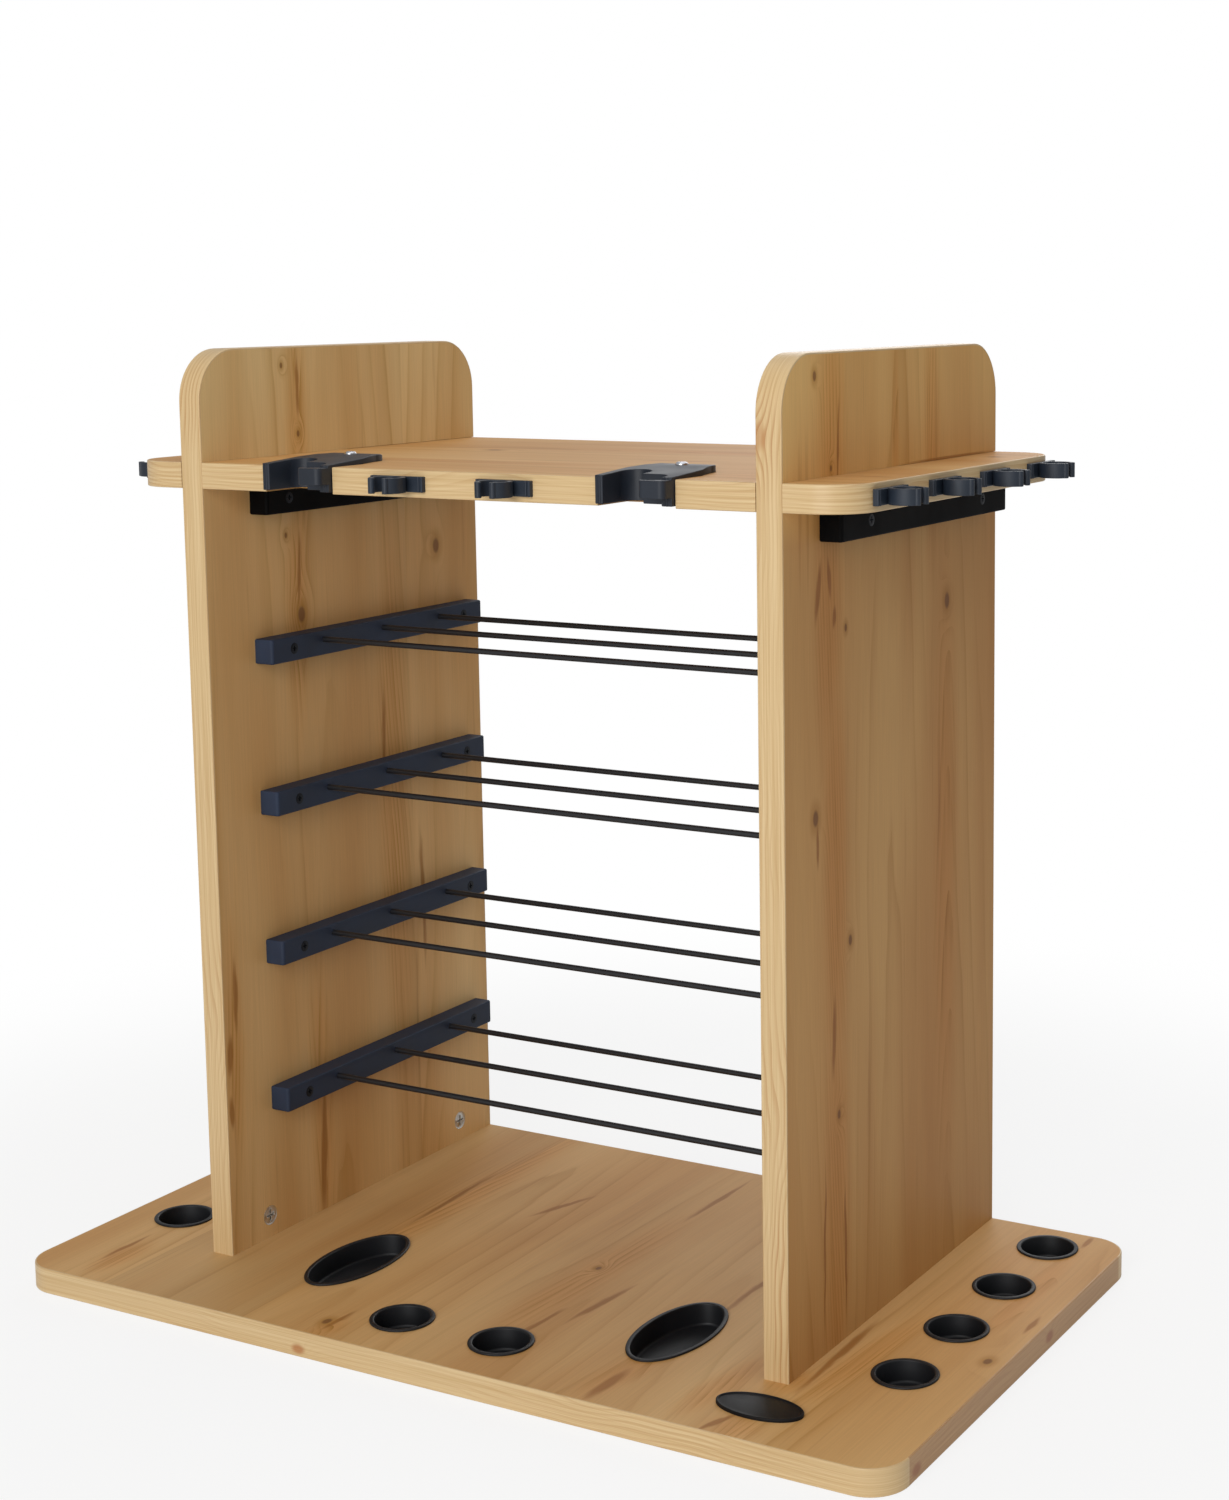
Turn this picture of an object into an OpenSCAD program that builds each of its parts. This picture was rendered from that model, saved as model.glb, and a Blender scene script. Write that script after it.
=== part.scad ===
// Free-standing fishing rod rack: a base board with butt cups, two side panels that carry
// four levels of storage box rails, and a top shelf that carries the rod clips.
// Millimetres, +Z up, origin on the floor at the middle of the base board.
// X runs along the front from left to right, Y runs from the front to the back.

/* [Boards] */
// Width of the base board, left to right
base_w = 575; // [566:1:620]
// Depth of the base board, front to back
base_d = 330; // [326:1:360]
// Thickness of all four boards
board_t = 15; // [15:0.5:18]
// Radius of the base board's corners
base_corner_r = 22; // [10:1:30]
// Thickness of the band glued round each board's edges
band_t = 1; // [0.5:0.1:1.5]
// Clear distance between the two side panels
panel_gap = 362; // [350:1:366]
// Distance from the front of the base board to the front of the panels
panel_setback = 66; // [62:1:70]
// Height of the rack, from the floor to the top of the panels
rack_h = 552; // [540:1:600]
// Radius of the panels' two top corners
panel_corner_r = 30; // [15:1:40]
// Length of the top shelf, left to right
shelf_w = 472; // [460:1:500]
// Height of the shelf's top face above the floor
shelf_top = 488; // [482:1:500]
// Radius of the shelf's corners
shelf_corner_r = 25; // [10:1:30]
// Play on each side of the half-lap joints between the shelf and the panels
lap_clearance = 0.2; // [0.1:0.05:0.4]

/* [Butt cups] */
// Number of round cups along each side of the base
side_cups = 4; // [2:1:4]
// Distance from the back of the base to the middle of the last side cup
last_cup_inset = 30; // [24:1:36]
// Distance from the base's left edge to the middle of a left cup
left_cup_inset = 37.5; // [36:0.5:43]
// Distance from the base's right edge to the middle of a right cup
right_cup_inset = 42.5; // [38:0.5:44]
// Distance from the front of the base to the middle of the first left cup
left_first_cup_y = 101; // [96:1:110]
// Distance from the front of the base to the middle of the first right cup
right_first_cup_y = 105; // [100:1:110]
// Distance from the front of the base to the middle of the front cups
front_cup_inset = 40; // [38:1:43]
// Distance between the two cups at the front
front_cup_pitch = 67; // [60:1:80]
// How far the two front cups stand to the left of the rack's middle
front_cup_shift = 2; // [0:0.5:4]
// Outer radius of a round cup's rim
cup_rim_r = 18.4; // [18:0.1:19]
// Outer radius of a round cup's barrel
cup_barrel_r = 16.8; // [16:0.1:17]
// Wall of a cup's barrel
cup_wall = 1.2; // [1:0.1:2]
// Thickness of a cup's rim above the board
cup_rim_t = 1.2; // [0.8:0.1:2]
// Depth of a cup below the board's top face
cup_depth = 13; // [10:0.5:14]
// Thickness of a cup's floor
cup_floor_t = 1.5; // [1:0.1:3]
// Play between a cup and its hole
cup_clearance = 0.1; // [0.05:0.05:0.3]
// Half length of an oval cup's rim, front to back
oval_rim_a = 42; // [40:0.5:44]
// Half width of an oval cup's rim
oval_rim_b = 21.5; // [20:0.5:23]
// Distance from the middle of the rack to the middle of an oval cup
oval_x = 110.5; // [105:0.5:115]
// Distance from the front of the base to the middle of an oval cup
oval_y = 95.5; // [90:0.5:105]

/* [Name plate] */
// Half length of the oval plate, left to right
plate_a = 25; // [20:0.5:30]
// Half width of the oval plate, front to back
plate_b = 13; // [11:0.5:15]
// Thickness of the plate inside its raised rim
plate_t = 1.2; // [0.8:0.1:2]
// Width of the raised rim
plate_rim_w = 1.4; // [1:0.1:3]
// Height of the raised rim above the plate
plate_rim_h = 0.6; // [0.3:0.1:1]
// Distance from the right end of the base to the middle of the plate
plate_inset = 91.5; // [76:0.5:96]
// Distance from the front of the base to the middle of the plate
plate_y = 35; // [30:1:38]

/* [Rod clips] */
// Width of a clip's flange along the shelf edge
clip_w = 35; // [32:0.5:38]
// Height of a clip
clip_h = 8.5; // [8:0.5:12]
// Thickness of a clip's flange
clip_flange_t = 2.4; // [2:0.1:3]
// Distance from the shelf edge to the axis of the held rod
clip_reach = 10.8; // [10:0.1:12]
// Outer radius of the gripping ring
clip_ring_r = 10; // [9:0.1:11]
// Inner radius of the gripping ring
clip_grip_r = 7.6; // [7:0.1:8]
// Half angle of the mouth that the rod is pressed through, seen from the rod's axis
clip_mouth_angle = 32; // [25:1:40]
// Distance between the two clips at the front
front_clip_pitch = 70; // [64:1:76]
// How far the two front clips stand to the left of the rack's middle
front_clip_shift = 6; // [0:0.5:8]

/* [Dual clips] */
// Width of the clip in its notch
dual_w = 46.5; // [45:0.5:52]
// Play between the clip and the sides of its notch
dual_clearance = 0.4; // [0.3:0.1:1.5]
// Depth of the clip's body behind the shelf's front edge
dual_body_d = 28; // [27:0.5:32]
// Height of the clip's body and front wall
dual_body_h = 15; // [13:0.5:16]
// Distance from the shelf's front edge to the clip's screw
dual_screw_y = 46; // [44:1:50]
// Radius of the tongue's round end on top of the shelf
dual_tongue_r = 18; // [15:0.5:20]
// Thickness of the tongue where it leaves the front wall
dual_lip_t = 1.25; // [1:0.05:2]
// Thickness of the tongue at its screw
dual_boss_t = 4; // [3.5:0.1:6]
// Radius of the rear rod pocket
dual_rear_r = 9; // [8:0.1:9.5]
// Radius of the front rod pocket, behind the hook
dual_front_r = 7.5; // [7:0.1:8]
// Thickness of the hook in front of the rod
dual_hook_t = 4; // [3:0.1:5]
// Height of the hook, below the level of the shelf's top face
dual_hook_h = 9.4; // [8:0.1:12]

/* [Box rails] */
// Number of rail levels
rail_levels = 4; // [1:1:4]
// Height of the lowest rail's middle above the floor
rail_first_z = 101; // [95:1:105]
// Distance from one rail level to the next
rail_pitch = 91; // [80:1:92]
// Distance from the front of the panels to the front of the rails
rail_setback = 40; // [36:1:44]
// Distance from the back of the rails to the back of the panels
rail_back_gap = 14; // [10:1:24]
// Width of a rail, out from the panel
rail_w = 13; // [12:0.5:16]
// Height of a rail
rail_h = 15; // [13:0.5:18]
// Radius of a rail's free corners, seen from above
rail_corner_r = 2; // [1:0.5:10]
// Distance from a rail's ends to its screws
rail_screw_end = 20; // [18:1:24]
// Number of wires on each level
wires_per_level = 3; // [1:1:3]
// Diameter of a wire
wire_d = 3.5; // [3:0.1:5]
// Distance from the rail's front end to the first wire
wire_first = 47.5; // [45:0.5:50]
// Distance from one wire to the next
wire_pitch = 58; // [50:1:60]
// Height of the wires above the rails' middle
wire_rise = 2; // [0:0.5:3]
// Depth of a wire's end in its rail
wire_end = 6; // [4:0.5:9]

/* [Shelf bars] */
// Height of the bars that hold up the shelf
bar_h = 18; // [16:0.5:22]
// Distance from an inner bar's ends to its panel screws
inner_bar_screw_end = 20; // [18:1:24]
// Distance from an outer bar's ends to its panel screws
outer_bar_screw_end = 34; // [32:1:38]
// Distance from a bar's ends to its shelf screws
bar_shelf_screw_end = 54; // [48:1:70]

/* [Fasteners] */
// Radius of all wood screws' threads
screw_r = 1.75; // [1.5:0.05:2]
// Radius of the screws' countersunk heads
screw_head_r = 3.4; // [3.2:0.05:3.8]
// Length of the screws that hold rails and bars to the panels
panel_screw_l = 24; // [22:0.5:26]
// Length of the screws that hold the shelf to its bars
shelf_screw_l = 28; // [26:0.5:30]
// Length of the screws that hold the rod clips
clip_screw_l = 16; // [14:0.5:25]
// Length of the screws that hold the dual clips
dual_screw_l = 14; // [12:0.5:16]
// Radius of a cam lock
cam_r = 6; // [5.8:0.05:6.5]
// Thickness of a cam lock
cam_t = 12; // [11.6:0.1:12.4]
// Height of a cam lock's axis above the base board
cam_rise = 13.5; // [13:0.1:16]
// Distance from the panel's front and back edges to the cam locks
cam_inset = 35; // [30:1:45]
// Play between a cam lock and its pocket
cam_clearance = 0.06; // [0.03:0.01:0.1]
// Play between a cam bolt and the cam lock round it
bolt_clearance = 0.3; // [0.2:0.05:0.4]
// Radius of a wood dowel
dowel_r = 4; // [3:0.1:5]
// Length of a wood dowel
dowel_l = 27; // [24:1:30]
// Distance from each cam lock to the nearest dowel
dowel_offset = 65; // [50:1:75]

/* [Hidden] */
// Smoothness of round shapes, and number of flats round an oval
$fn = 96;
oval_steps = 72;

// Places that follow from the sizes above
base_front = -base_d / 2;
base_back = base_d / 2;
panel_front = base_front + panel_setback;
panel_back = base_back;
panel_x = panel_gap / 2;
lap_y = (panel_front + panel_back) / 2;
shelf_bottom = shelf_top - board_t;
front_cup_y = base_front + front_cup_inset;
last_cup_y = base_back - last_cup_inset;
plate_x = base_w / 2 - plate_inset;
clip_z = shelf_bottom + board_t / 2;
rail_front = panel_front + rail_setback;
rail_back = panel_back - rail_back_gap;
rail_l = rail_back - rail_front;
cam_z = board_t + cam_rise;
cam_front = panel_front + cam_inset;
cam_back = panel_back - cam_inset;
sides = [-1, 1];

// Small fixed sizes
cut = 1;
pilot_play = 0.05;
screw_head_l = 2;
drive_w = 0.9;
drive_l = 3.6;
drive_d = 1.1;
bead_r = 0.7;
bead_pitch = 2.2;
lip_r = 1.9;
pilot_tip = 1;
dual_seat_play = 0.5;
dual_front_wall = 3;
dual_gate_w = 18;
dual_gate_x = -9.5;
dual_rear_y = 14;
dual_hook_pocket_x = 10;
dual_hook_x = 7.4;
dual_hook_r = 3.5;
dual_boss_r = 6;

// Cam lock and cam bolt sizes
bolt_head_r = 2.5;
bolt_head_h = 3.2;
bolt_neck_r = 1.4;
bolt_shank_r = 2.8;
bolt_thread_r = 2.5;
bolt_thread_l = 11;
cam_hollow_r = sqrt(pow(bolt_head_r, 2) + pow(bolt_head_h / 2, 2)) + bolt_clearance;
cam_hollow_w = 2 * (bolt_head_r + bolt_clearance);
cam_slot_w = 2 * (bolt_neck_r + bolt_clearance);
cam_web_angle = 65;
cam_drive_l = 7;
cam_drive_w = 1.3;
cam_drive_d = 2.2;
cam_pocket_play = 0.3;
dowel_base_depth = 11;
dowel_end_play = 0.5;

WOOD = "burlywood";
BAND = "wheat";
BLACK = [0.11, 0.12, 0.14];
STEEL = "silver";

// Outlines

// Rectangle with round corners, from its lower left to its upper right point
module round_rect(x0, y0, x1, y1, r) {
    translate([x0 + r, y0]) square([x1 - x0 - 2 * r, y1 - y0]);
    translate([x0, y0 + r]) square([x1 - x0, y1 - y0 - 2 * r]);
    for (x = [x0 + r, x1 - r]) for (y = [y0 + r, y1 - r]) translate([x, y]) circle(r);
}

// Ellipse, long along X, with half length a and half width b
module oval(a, b) {
    polygon([for (i = [0:oval_steps - 1]) [a * cos(i * 360 / oval_steps), b * sin(i * 360 / oval_steps)]]);
}

module base_outline(inset) {
    round_rect(-base_w / 2 + inset, base_front + inset, base_w / 2 - inset, base_back - inset,
        base_corner_r - inset);
}

// Side panel seen from the right, with Y to the right and Z up
module panel_outline(inset) {
    r = panel_corner_r - inset;
    y0 = panel_front + inset;
    y1 = panel_back - inset;
    z1 = rack_h - inset;
    translate([y0, board_t]) square([y1 - y0, z1 - r - board_t]);
    translate([y0 + r, board_t]) square([y1 - y0 - 2 * r, z1 - board_t]);
    for (y = [y0 + r, y1 - r]) translate([y, z1 - r]) circle(r);
}

module shelf_outline(inset) {
    round_rect(-shelf_w / 2 + inset, panel_front + inset, shelf_w / 2 - inset, panel_back - inset,
        shelf_corner_r - inset);
}

// Placing helpers

function side_cup_x(side) = side < 0 ? left_cup_inset - base_w / 2 : base_w / 2 - right_cup_inset;

function first_side_cup(side) = base_front + (side < 0 ? left_first_cup_y : right_first_cup_y);

// Y of a side cup and of the clip above it
function side_cup_y(side, i) =
    first_side_cup(side) + i * (last_cup_y - first_side_cup(side)) / (side_cups - 1);

// Put their children at one cup, on the base board's top face
module at_front_cup(side) {
    translate([side * front_cup_pitch / 2 - front_cup_shift, front_cup_y, board_t]) children();
}

module at_side_cup(side, i) {
    translate([side_cup_x(side), side_cup_y(side, i), board_t]) children();
}

module at_oval_cup(side) {
    translate([side * oval_x, base_front + oval_y, board_t]) rotate([0, 0, 90]) children();
}

// A clip's own frame: the shelf edge is the plane y = 0 and the rod stands in front, at -y
module at_front_clip(side) {
    translate([side * front_clip_pitch / 2 - front_clip_shift, panel_front, clip_z]) children();
}

module at_side_clip(side, i) {
    translate([side * shelf_w / 2, side_cup_y(side, i), clip_z])
        rotate([0, 0, side * 90]) children();
}

module at_dual_clip(side) {
    translate([side * oval_x, panel_front, shelf_top]) children();
}

// A panel's own frame: x = 0 on the inner face and x grows into the panel
module at_panel(side) {
    if (side > 0) translate([panel_x, 0, 0]) children();
    else mirror([1, 0, 0]) translate([panel_x, 0, 0]) children();
}

module at_cams(side) {
    at_panel(side) for (y = [cam_front, cam_back]) translate([0, y, cam_z]) children();
}

// Fasteners

// Countersunk screw along -z with its head's face at z = 0
module screw(length, play = 0) {
    head_r = screw_head_r + play;
    translate([0, 0, -length]) cylinder(h = length, r = screw_r + play);
    translate([0, 0, -screw_head_l]) cylinder(h = screw_head_l, r1 = screw_r + play, r2 = head_r);
}

module drive_cross(w, l, d) {
    for (a = [0, 90]) rotate([0, 0, a]) translate([-l / 2, -w / 2, -d]) cube([l, w, d + cut]);
}

module driven_screw(length) {
    difference() {
        screw(length);
        drive_cross(drive_w, drive_l, drive_d);
    }
}

// Hole for a screw: it runs a little deeper than the tip and opens past the head's face
module screw_hole(length) {
    translate([0, 0, -length - pilot_tip]) cylinder(h = length + pilot_tip + cut, r = screw_r + pilot_play);
    translate([0, 0, -screw_head_l])
        cylinder(h = screw_head_l, r1 = screw_r + pilot_play, r2 = screw_head_r + pilot_play);
    cylinder(h = cut, r = screw_head_r + pilot_play);
}

// Distances of a rail's or bar's screws from the rail's front end
function rail_screws_at(end) = [end, rail_l - end];

// Puts its children at the panel screws of one rail or bar, pointing out of the carried piece
module at_rail_screws(side, z, end) {
    at_panel(side) for (y = rail_screws_at(end))
        translate([-rail_w, rail_front + y, z]) rotate([0, -90, 0]) children();
}

// The same for a bar on the panel's outer face
module at_outer_bar_screws(side, z, end) {
    at_panel(side) for (y = rail_screws_at(end))
        translate([board_t + rail_w, rail_front + y, z]) rotate([0, 90, 0]) children();
}

module at_bar_shelf_screws(side) {
    at_panel(side) for (x = [-rail_w / 2, board_t + rail_w / 2]) for (y = rail_screws_at(bar_shelf_screw_end))
        translate([x, rail_front + y, shelf_bottom - bar_h]) rotate([180, 0, 0]) children();
}

module at_all_clips() {
    for (s = sides) {
        at_front_clip(s) children();
        for (i = [0:side_cups - 1]) at_side_clip(s, i) children();
    }
}

// Screws lie along a clip's y axis, with their heads in the back wall of the ring
module at_clip_screw() {
    translate([0, clip_grip_r - clip_reach, 0]) rotate([90, 0, 0]) children();
}

module at_dual_screw() {
    translate([0, dual_screw_y, dual_boss_t]) children();
}

function rail_z(i) = rail_first_z + i * rail_pitch;
bar_z = shelf_bottom - bar_h / 2;

// Boards

module base_holes() {
    hole_r = cup_barrel_r + cup_clearance;
    for (s = sides) {
        at_front_cup(s) translate([0, 0, -board_t - cut]) cylinder(h = board_t + 2 * cut, r = hole_r);
        for (i = [0:side_cups - 1])
            at_side_cup(s, i) translate([0, 0, -board_t - cut]) cylinder(h = board_t + 2 * cut, r = hole_r);
        at_oval_cup(s) translate([0, 0, -board_t - cut]) linear_extrude(board_t + 2 * cut)
            oval_barrel(-cup_clearance);
        at_cams(s) translate([board_t / 2, 0, -cam_rise - bolt_thread_l])
            cylinder(h = bolt_thread_l + cut, r = bolt_thread_r + pilot_play);
        at_dowels(s) translate([0, 0, -dowel_base_depth - dowel_end_play])
            cylinder(h = dowel_base_depth + dowel_end_play + cut, r = dowel_r + pilot_play);
    }
}

module base_board() {
    color(WOOD) difference() {
        linear_extrude(board_t) base_outline(band_t);
        base_holes();
    }
}

module base_edge_band() {
    color(BAND) linear_extrude(board_t) difference() {
        base_outline(0);
        base_outline(band_t);
    }
}

// Slot in the back half of a panel that the shelf slides into
module panel_slot() {
    translate([-cut, lap_y, shelf_bottom - lap_clearance])
        cube([board_t + 2 * cut, panel_back - lap_y + cut, board_t + 2 * lap_clearance]);
}

module at_dowels(side) {
    at_panel(side) for (y = [cam_front + dowel_offset, cam_back - dowel_offset])
        translate([board_t / 2, y, board_t]) children();
}

// Pockets and bores for the cam locks, their bolts and the dowels
module panel_joint_holes(side) {
    at_cams(side) {
        translate([-cut, 0, 0]) rotate([0, 90, 0])
            cylinder(h = cam_t + cam_pocket_play + cut, r = cam_r);
        translate([board_t / 2, 0, -cam_rise - cut])
            cylinder(h = cam_rise + cut, r = bolt_shank_r + pilot_play);
    }
    at_dowels(side) translate([0, 0, -cut])
        cylinder(h = dowel_l - dowel_base_depth + dowel_end_play + cut, r = dowel_r + pilot_play);
}

module panel_screw_holes(side) {
    for (i = [0:rail_levels - 1]) at_rail_screws(side, rail_z(i), rail_screw_end) screw_hole(panel_screw_l);
    at_rail_screws(side, bar_z, inner_bar_screw_end) screw_hole(panel_screw_l);
    at_outer_bar_screws(side, bar_z, outer_bar_screw_end) screw_hole(panel_screw_l);
}

module panel(side) {
    color(WOOD) difference() {
        at_panel(side) difference() {
            rotate([90, 0, 90]) linear_extrude(board_t) panel_outline(band_t);
            panel_slot();
        }
        panel_joint_holes(side);
        panel_screw_holes(side);
    }
}

module panel_edge_band(side) {
    color(BAND) at_panel(side) difference() {
        rotate([90, 0, 90]) linear_extrude(board_t) difference() {
            panel_outline(0);
            panel_outline(band_t);
        }
        panel_slot();
    }
}

// Cuts in the shelf's front half that the panels slide into
module shelf_slots() {
    for (s = sides) at_panel(s)
        translate([-lap_clearance, panel_front - cut, shelf_bottom - cut])
            cube([board_t + 2 * lap_clearance, lap_y - panel_front + cut, board_t + 2 * cut]);
}

module dual_notches() {
    half = dual_w / 2 + dual_clearance;
    depth = dual_body_d + dual_seat_play;
    for (s = sides) at_dual_clip(s)
        translate([-half, -cut, -board_t - cut]) cube([2 * half, depth + cut, board_t + 2 * cut]);
}

module shelf_screw_holes() {
    at_all_clips() at_clip_screw() screw_hole(clip_screw_l);
    for (s = sides) {
        at_dual_clip(s) at_dual_screw() screw_hole(dual_screw_l);
        at_bar_shelf_screws(s) screw_hole(shelf_screw_l);
    }
}

module top_shelf() {
    color(WOOD) difference() {
        translate([0, 0, shelf_bottom]) linear_extrude(board_t) shelf_outline(band_t);
        shelf_slots();
        dual_notches();
        shelf_screw_holes();
    }
}

module top_shelf_edge_band() {
    color(BAND) difference() {
        translate([0, 0, shelf_bottom]) linear_extrude(board_t) difference() {
            shelf_outline(0);
            shelf_outline(band_t);
        }
        shelf_slots();
        dual_notches();
        at_all_clips() at_clip_screw() screw_hole(clip_screw_l);
    }
}

// Butt cups, with the board's top face at z = 0

module round_cup() {
    inner_r = cup_barrel_r - cup_wall;
    edge_r = cup_rim_t / 2;
    color(BLACK) rotate_extrude() {
        translate([0, -cup_depth]) square([cup_barrel_r, cup_floor_t]);
        translate([inner_r, -cup_depth]) square([cup_wall, cup_depth + cup_rim_t]);
        translate([inner_r, 0]) square([cup_rim_r - edge_r - inner_r, cup_rim_t]);
        translate([cup_rim_r - edge_r, edge_r]) circle(edge_r, $fn = 24);
    }
}

// The oval barrel's outline, drawn in by inset from its outer face
module oval_barrel(inset) {
    overhang = cup_rim_r - cup_barrel_r + inset;
    oval(oval_rim_a - overhang, oval_rim_b - overhang);
}

module oval_cup() {
    color(BLACK) {
        difference() {
            union() {
                translate([0, 0, -cup_depth]) linear_extrude(cup_depth + cup_rim_t) oval_barrel(0);
                linear_extrude(cup_rim_t) oval(oval_rim_a, oval_rim_b);
            }
            translate([0, 0, cup_floor_t - cup_depth]) linear_extrude(cup_depth + cup_rim_t + cut)
                oval_barrel(cup_wall);
        }
    }
}

module name_plate() {
    color(BLACK) translate([plate_x, base_front + plate_y, board_t]) {
        linear_extrude(plate_t) oval(plate_a, plate_b);
        linear_extrude(plate_t + plate_rim_h) difference() {
            oval(plate_a, plate_b);
            oval(plate_a - plate_rim_w, plate_b - plate_rim_w);
        }
    }
}

// Clips

// Clip seen from above: a flange with beads near its ends and a ring with an open mouth
module rod_clip_outline() {
    lip_y = -clip_reach;
    mid_r = (clip_ring_r + clip_grip_r) / 2;
    mouth_far = 2 * clip_ring_r;
    difference() {
        union() {
            translate([-clip_w / 2, -clip_flange_t]) square([clip_w, clip_flange_t]);
            for (s = sides) for (k = [0, 1])
                translate([s * (clip_w / 2 - bead_r - k * bead_pitch), -clip_flange_t]) circle(bead_r, $fn = 24);
            difference() {
                translate([0, lip_y]) circle(clip_ring_r);
                translate([0, lip_y]) polygon([
                    [0, 0],
                    mouth_far * [-sin(clip_mouth_angle), -cos(clip_mouth_angle)],
                    mouth_far * [sin(clip_mouth_angle), -cos(clip_mouth_angle)]
                ]);
            }
            for (s = sides) translate([0, lip_y]) rotate(s * clip_mouth_angle)
                translate([0, -mid_r]) circle(lip_r, $fn = 32);
        }
        translate([0, lip_y]) circle(clip_grip_r);
    }
}

module rod_clip() {
    color(BLACK) difference() {
        translate([0, 0, -clip_h / 2]) linear_extrude(clip_h) rod_clip_outline();
        at_clip_screw() screw_hole(clip_screw_l);
    }
}

// Body of a dual clip seen from above, in its notch
module dual_body_outline() {
    half = dual_w / 2;
    difference() {
        union() {
            translate([-half, -dual_front_wall]) square([dual_w, dual_front_wall + dual_body_d]);
            for (s = sides) translate([s * (half - bead_r - bead_pitch), -dual_front_wall]) circle(bead_r, $fn = 24);
        }
        dual_channel();
    }
}

// Hook that reaches from the body's right side across the front rod, seen from above
module dual_hook_outline() {
    difference() {
        round_rect(dual_hook_x, -dual_front_r - dual_hook_t, dual_w / 2, dual_hook_r, dual_hook_r);
        dual_channel();
    }
}

// Way of the two rods: in through the gate, back into the rear pocket or across behind the hook
module dual_channel() {
    gate_half = dual_gate_w / 2;
    translate([dual_gate_x - gate_half, -dual_front_r - dual_hook_t - cut])
        square([dual_gate_w, dual_front_r + dual_hook_t + cut + dual_rear_y]);
    translate([dual_gate_x, dual_rear_y]) circle(dual_rear_r);
    translate([dual_hook_pocket_x, 0]) circle(dual_front_r);
    translate([dual_gate_x, -dual_front_r]) square([dual_hook_pocket_x - dual_gate_x, 2 * dual_front_r]);
}

// Tongue on top of the shelf, rising from the front wall to the round boss at the screw
module dual_tongue() {
    half = dual_w / 2;
    end_y = dual_screw_y + dual_tongue_r;
    intersection() {
        linear_extrude(dual_boss_t) difference() {
            union() {
                translate([0, dual_screw_y]) circle(dual_tongue_r);
                polygon([
                    [-half, -dual_front_wall], [half, -dual_front_wall],
                    [half, dual_body_d], [dual_tongue_r, dual_screw_y],
                    [-dual_tongue_r, dual_screw_y], [-half, dual_body_d]
                ]);
            }
            dual_channel();
        }
        rotate([90, 0, 90]) translate([0, 0, -half]) linear_extrude(dual_w) polygon([
            [-dual_front_wall, 0], [end_y, 0], [end_y, dual_lip_t * 1.6],
            [dual_screw_y + dual_boss_r, dual_boss_t], [dual_screw_y - dual_boss_r, dual_boss_t],
            [-dual_front_wall, dual_lip_t]
        ]);
    }
}

module dual_clip() {
    color(BLACK) difference() {
        union() {
            translate([0, 0, dual_lip_t - dual_body_h]) linear_extrude(dual_body_h) dual_body_outline();
            translate([0, 0, -dual_hook_h]) linear_extrude(dual_hook_h) dual_hook_outline();
            dual_tongue();
        }
        at_dual_screw() screw_hole(dual_screw_l);
    }
}

// Rails, wires and bars

// Rail or bar seen from above in the panel's frame: out from the face at x = 0 towards -x
module rail_outline() {
    intersection() {
        round_rect(-rail_w, rail_front, rail_w, rail_back, rail_corner_r);
        translate([-rail_w, rail_front]) square([rail_w, rail_l]);
    }
}

// Puts its children at the middle of every wire of one level
module at_wires(i) {
    for (k = [0:wires_per_level - 1])
        translate([0, rail_front + wire_first + k * wire_pitch, rail_z(i) + wire_rise]) children();
}

module box_rail(side, i) {
    color(BLACK) difference() {
        at_panel(side) translate([0, 0, rail_z(i) - rail_h / 2]) linear_extrude(rail_h) rail_outline();
        at_rail_screws(side, rail_z(i), rail_screw_end) screw_hole(panel_screw_l);
        at_wires(i) rotate([0, 90, 0])
            cylinder(h = wire_length() + 2 * pilot_play, r = wire_d / 2 + pilot_play, center = true);
    }
}

function wire_length() = panel_gap - 2 * rail_w + 2 * wire_end;

module box_wires(i) {
    color(STEEL) at_wires(i) rotate([0, 90, 0]) cylinder(h = wire_length(), d = wire_d, center = true);
}

module shelf_bar_inner(side) {
    color(BLACK) difference() {
        at_panel(side) translate([0, 0, shelf_bottom - bar_h]) linear_extrude(bar_h) rail_outline();
        at_rail_screws(side, bar_z, inner_bar_screw_end) screw_hole(panel_screw_l);
        at_bar_shelf_screws(side) screw_hole(shelf_screw_l);
    }
}

module shelf_bar_outer(side) {
    color(BLACK) difference() {
        at_panel(side) translate([board_t, 0, shelf_bottom - bar_h]) linear_extrude(bar_h)
            mirror([1, 0]) rail_outline();
        at_outer_bar_screws(side, bar_z, outer_bar_screw_end) screw_hole(panel_screw_l);
        at_bar_shelf_screws(side) screw_hole(shelf_screw_l);
    }
}

// Knock-down fittings

// Cam lock in its locked turn: the web faces the back and the way in for the bolt's head is on top
module cam_lock_body() {
    slot_r = cam_r + cut;
    color(STEEL) difference() {
        rotate([0, 90, 0]) cylinder(h = cam_t, r = cam_r - cam_clearance);
        translate([board_t / 2 - cam_hollow_w / 2, 0, 0]) rotate([0, 90, 0])
            cylinder(h = cam_hollow_w, r = cam_hollow_r);
        translate([board_t / 2, 0, 0]) cylinder(h = slot_r, r = cam_hollow_w / 2);
        translate([board_t / 2 - cam_slot_w / 2, 0, 0]) rotate([90, 0, 90]) linear_extrude(cam_slot_w)
            difference() {
                circle(slot_r);
                polygon([
                    [0, 0],
                    2 * slot_r * [cos(cam_web_angle), -sin(cam_web_angle)],
                    [2 * slot_r, 0],
                    2 * slot_r * [cos(cam_web_angle), sin(cam_web_angle)]
                ]);
            }
        rotate([0, -90, 0]) drive_cross(cam_drive_w, cam_drive_l, cam_drive_d);
    }
}

module cam_lock(side, y) {
    at_panel(side) translate([0, y, cam_z]) cam_lock_body();
}

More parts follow.
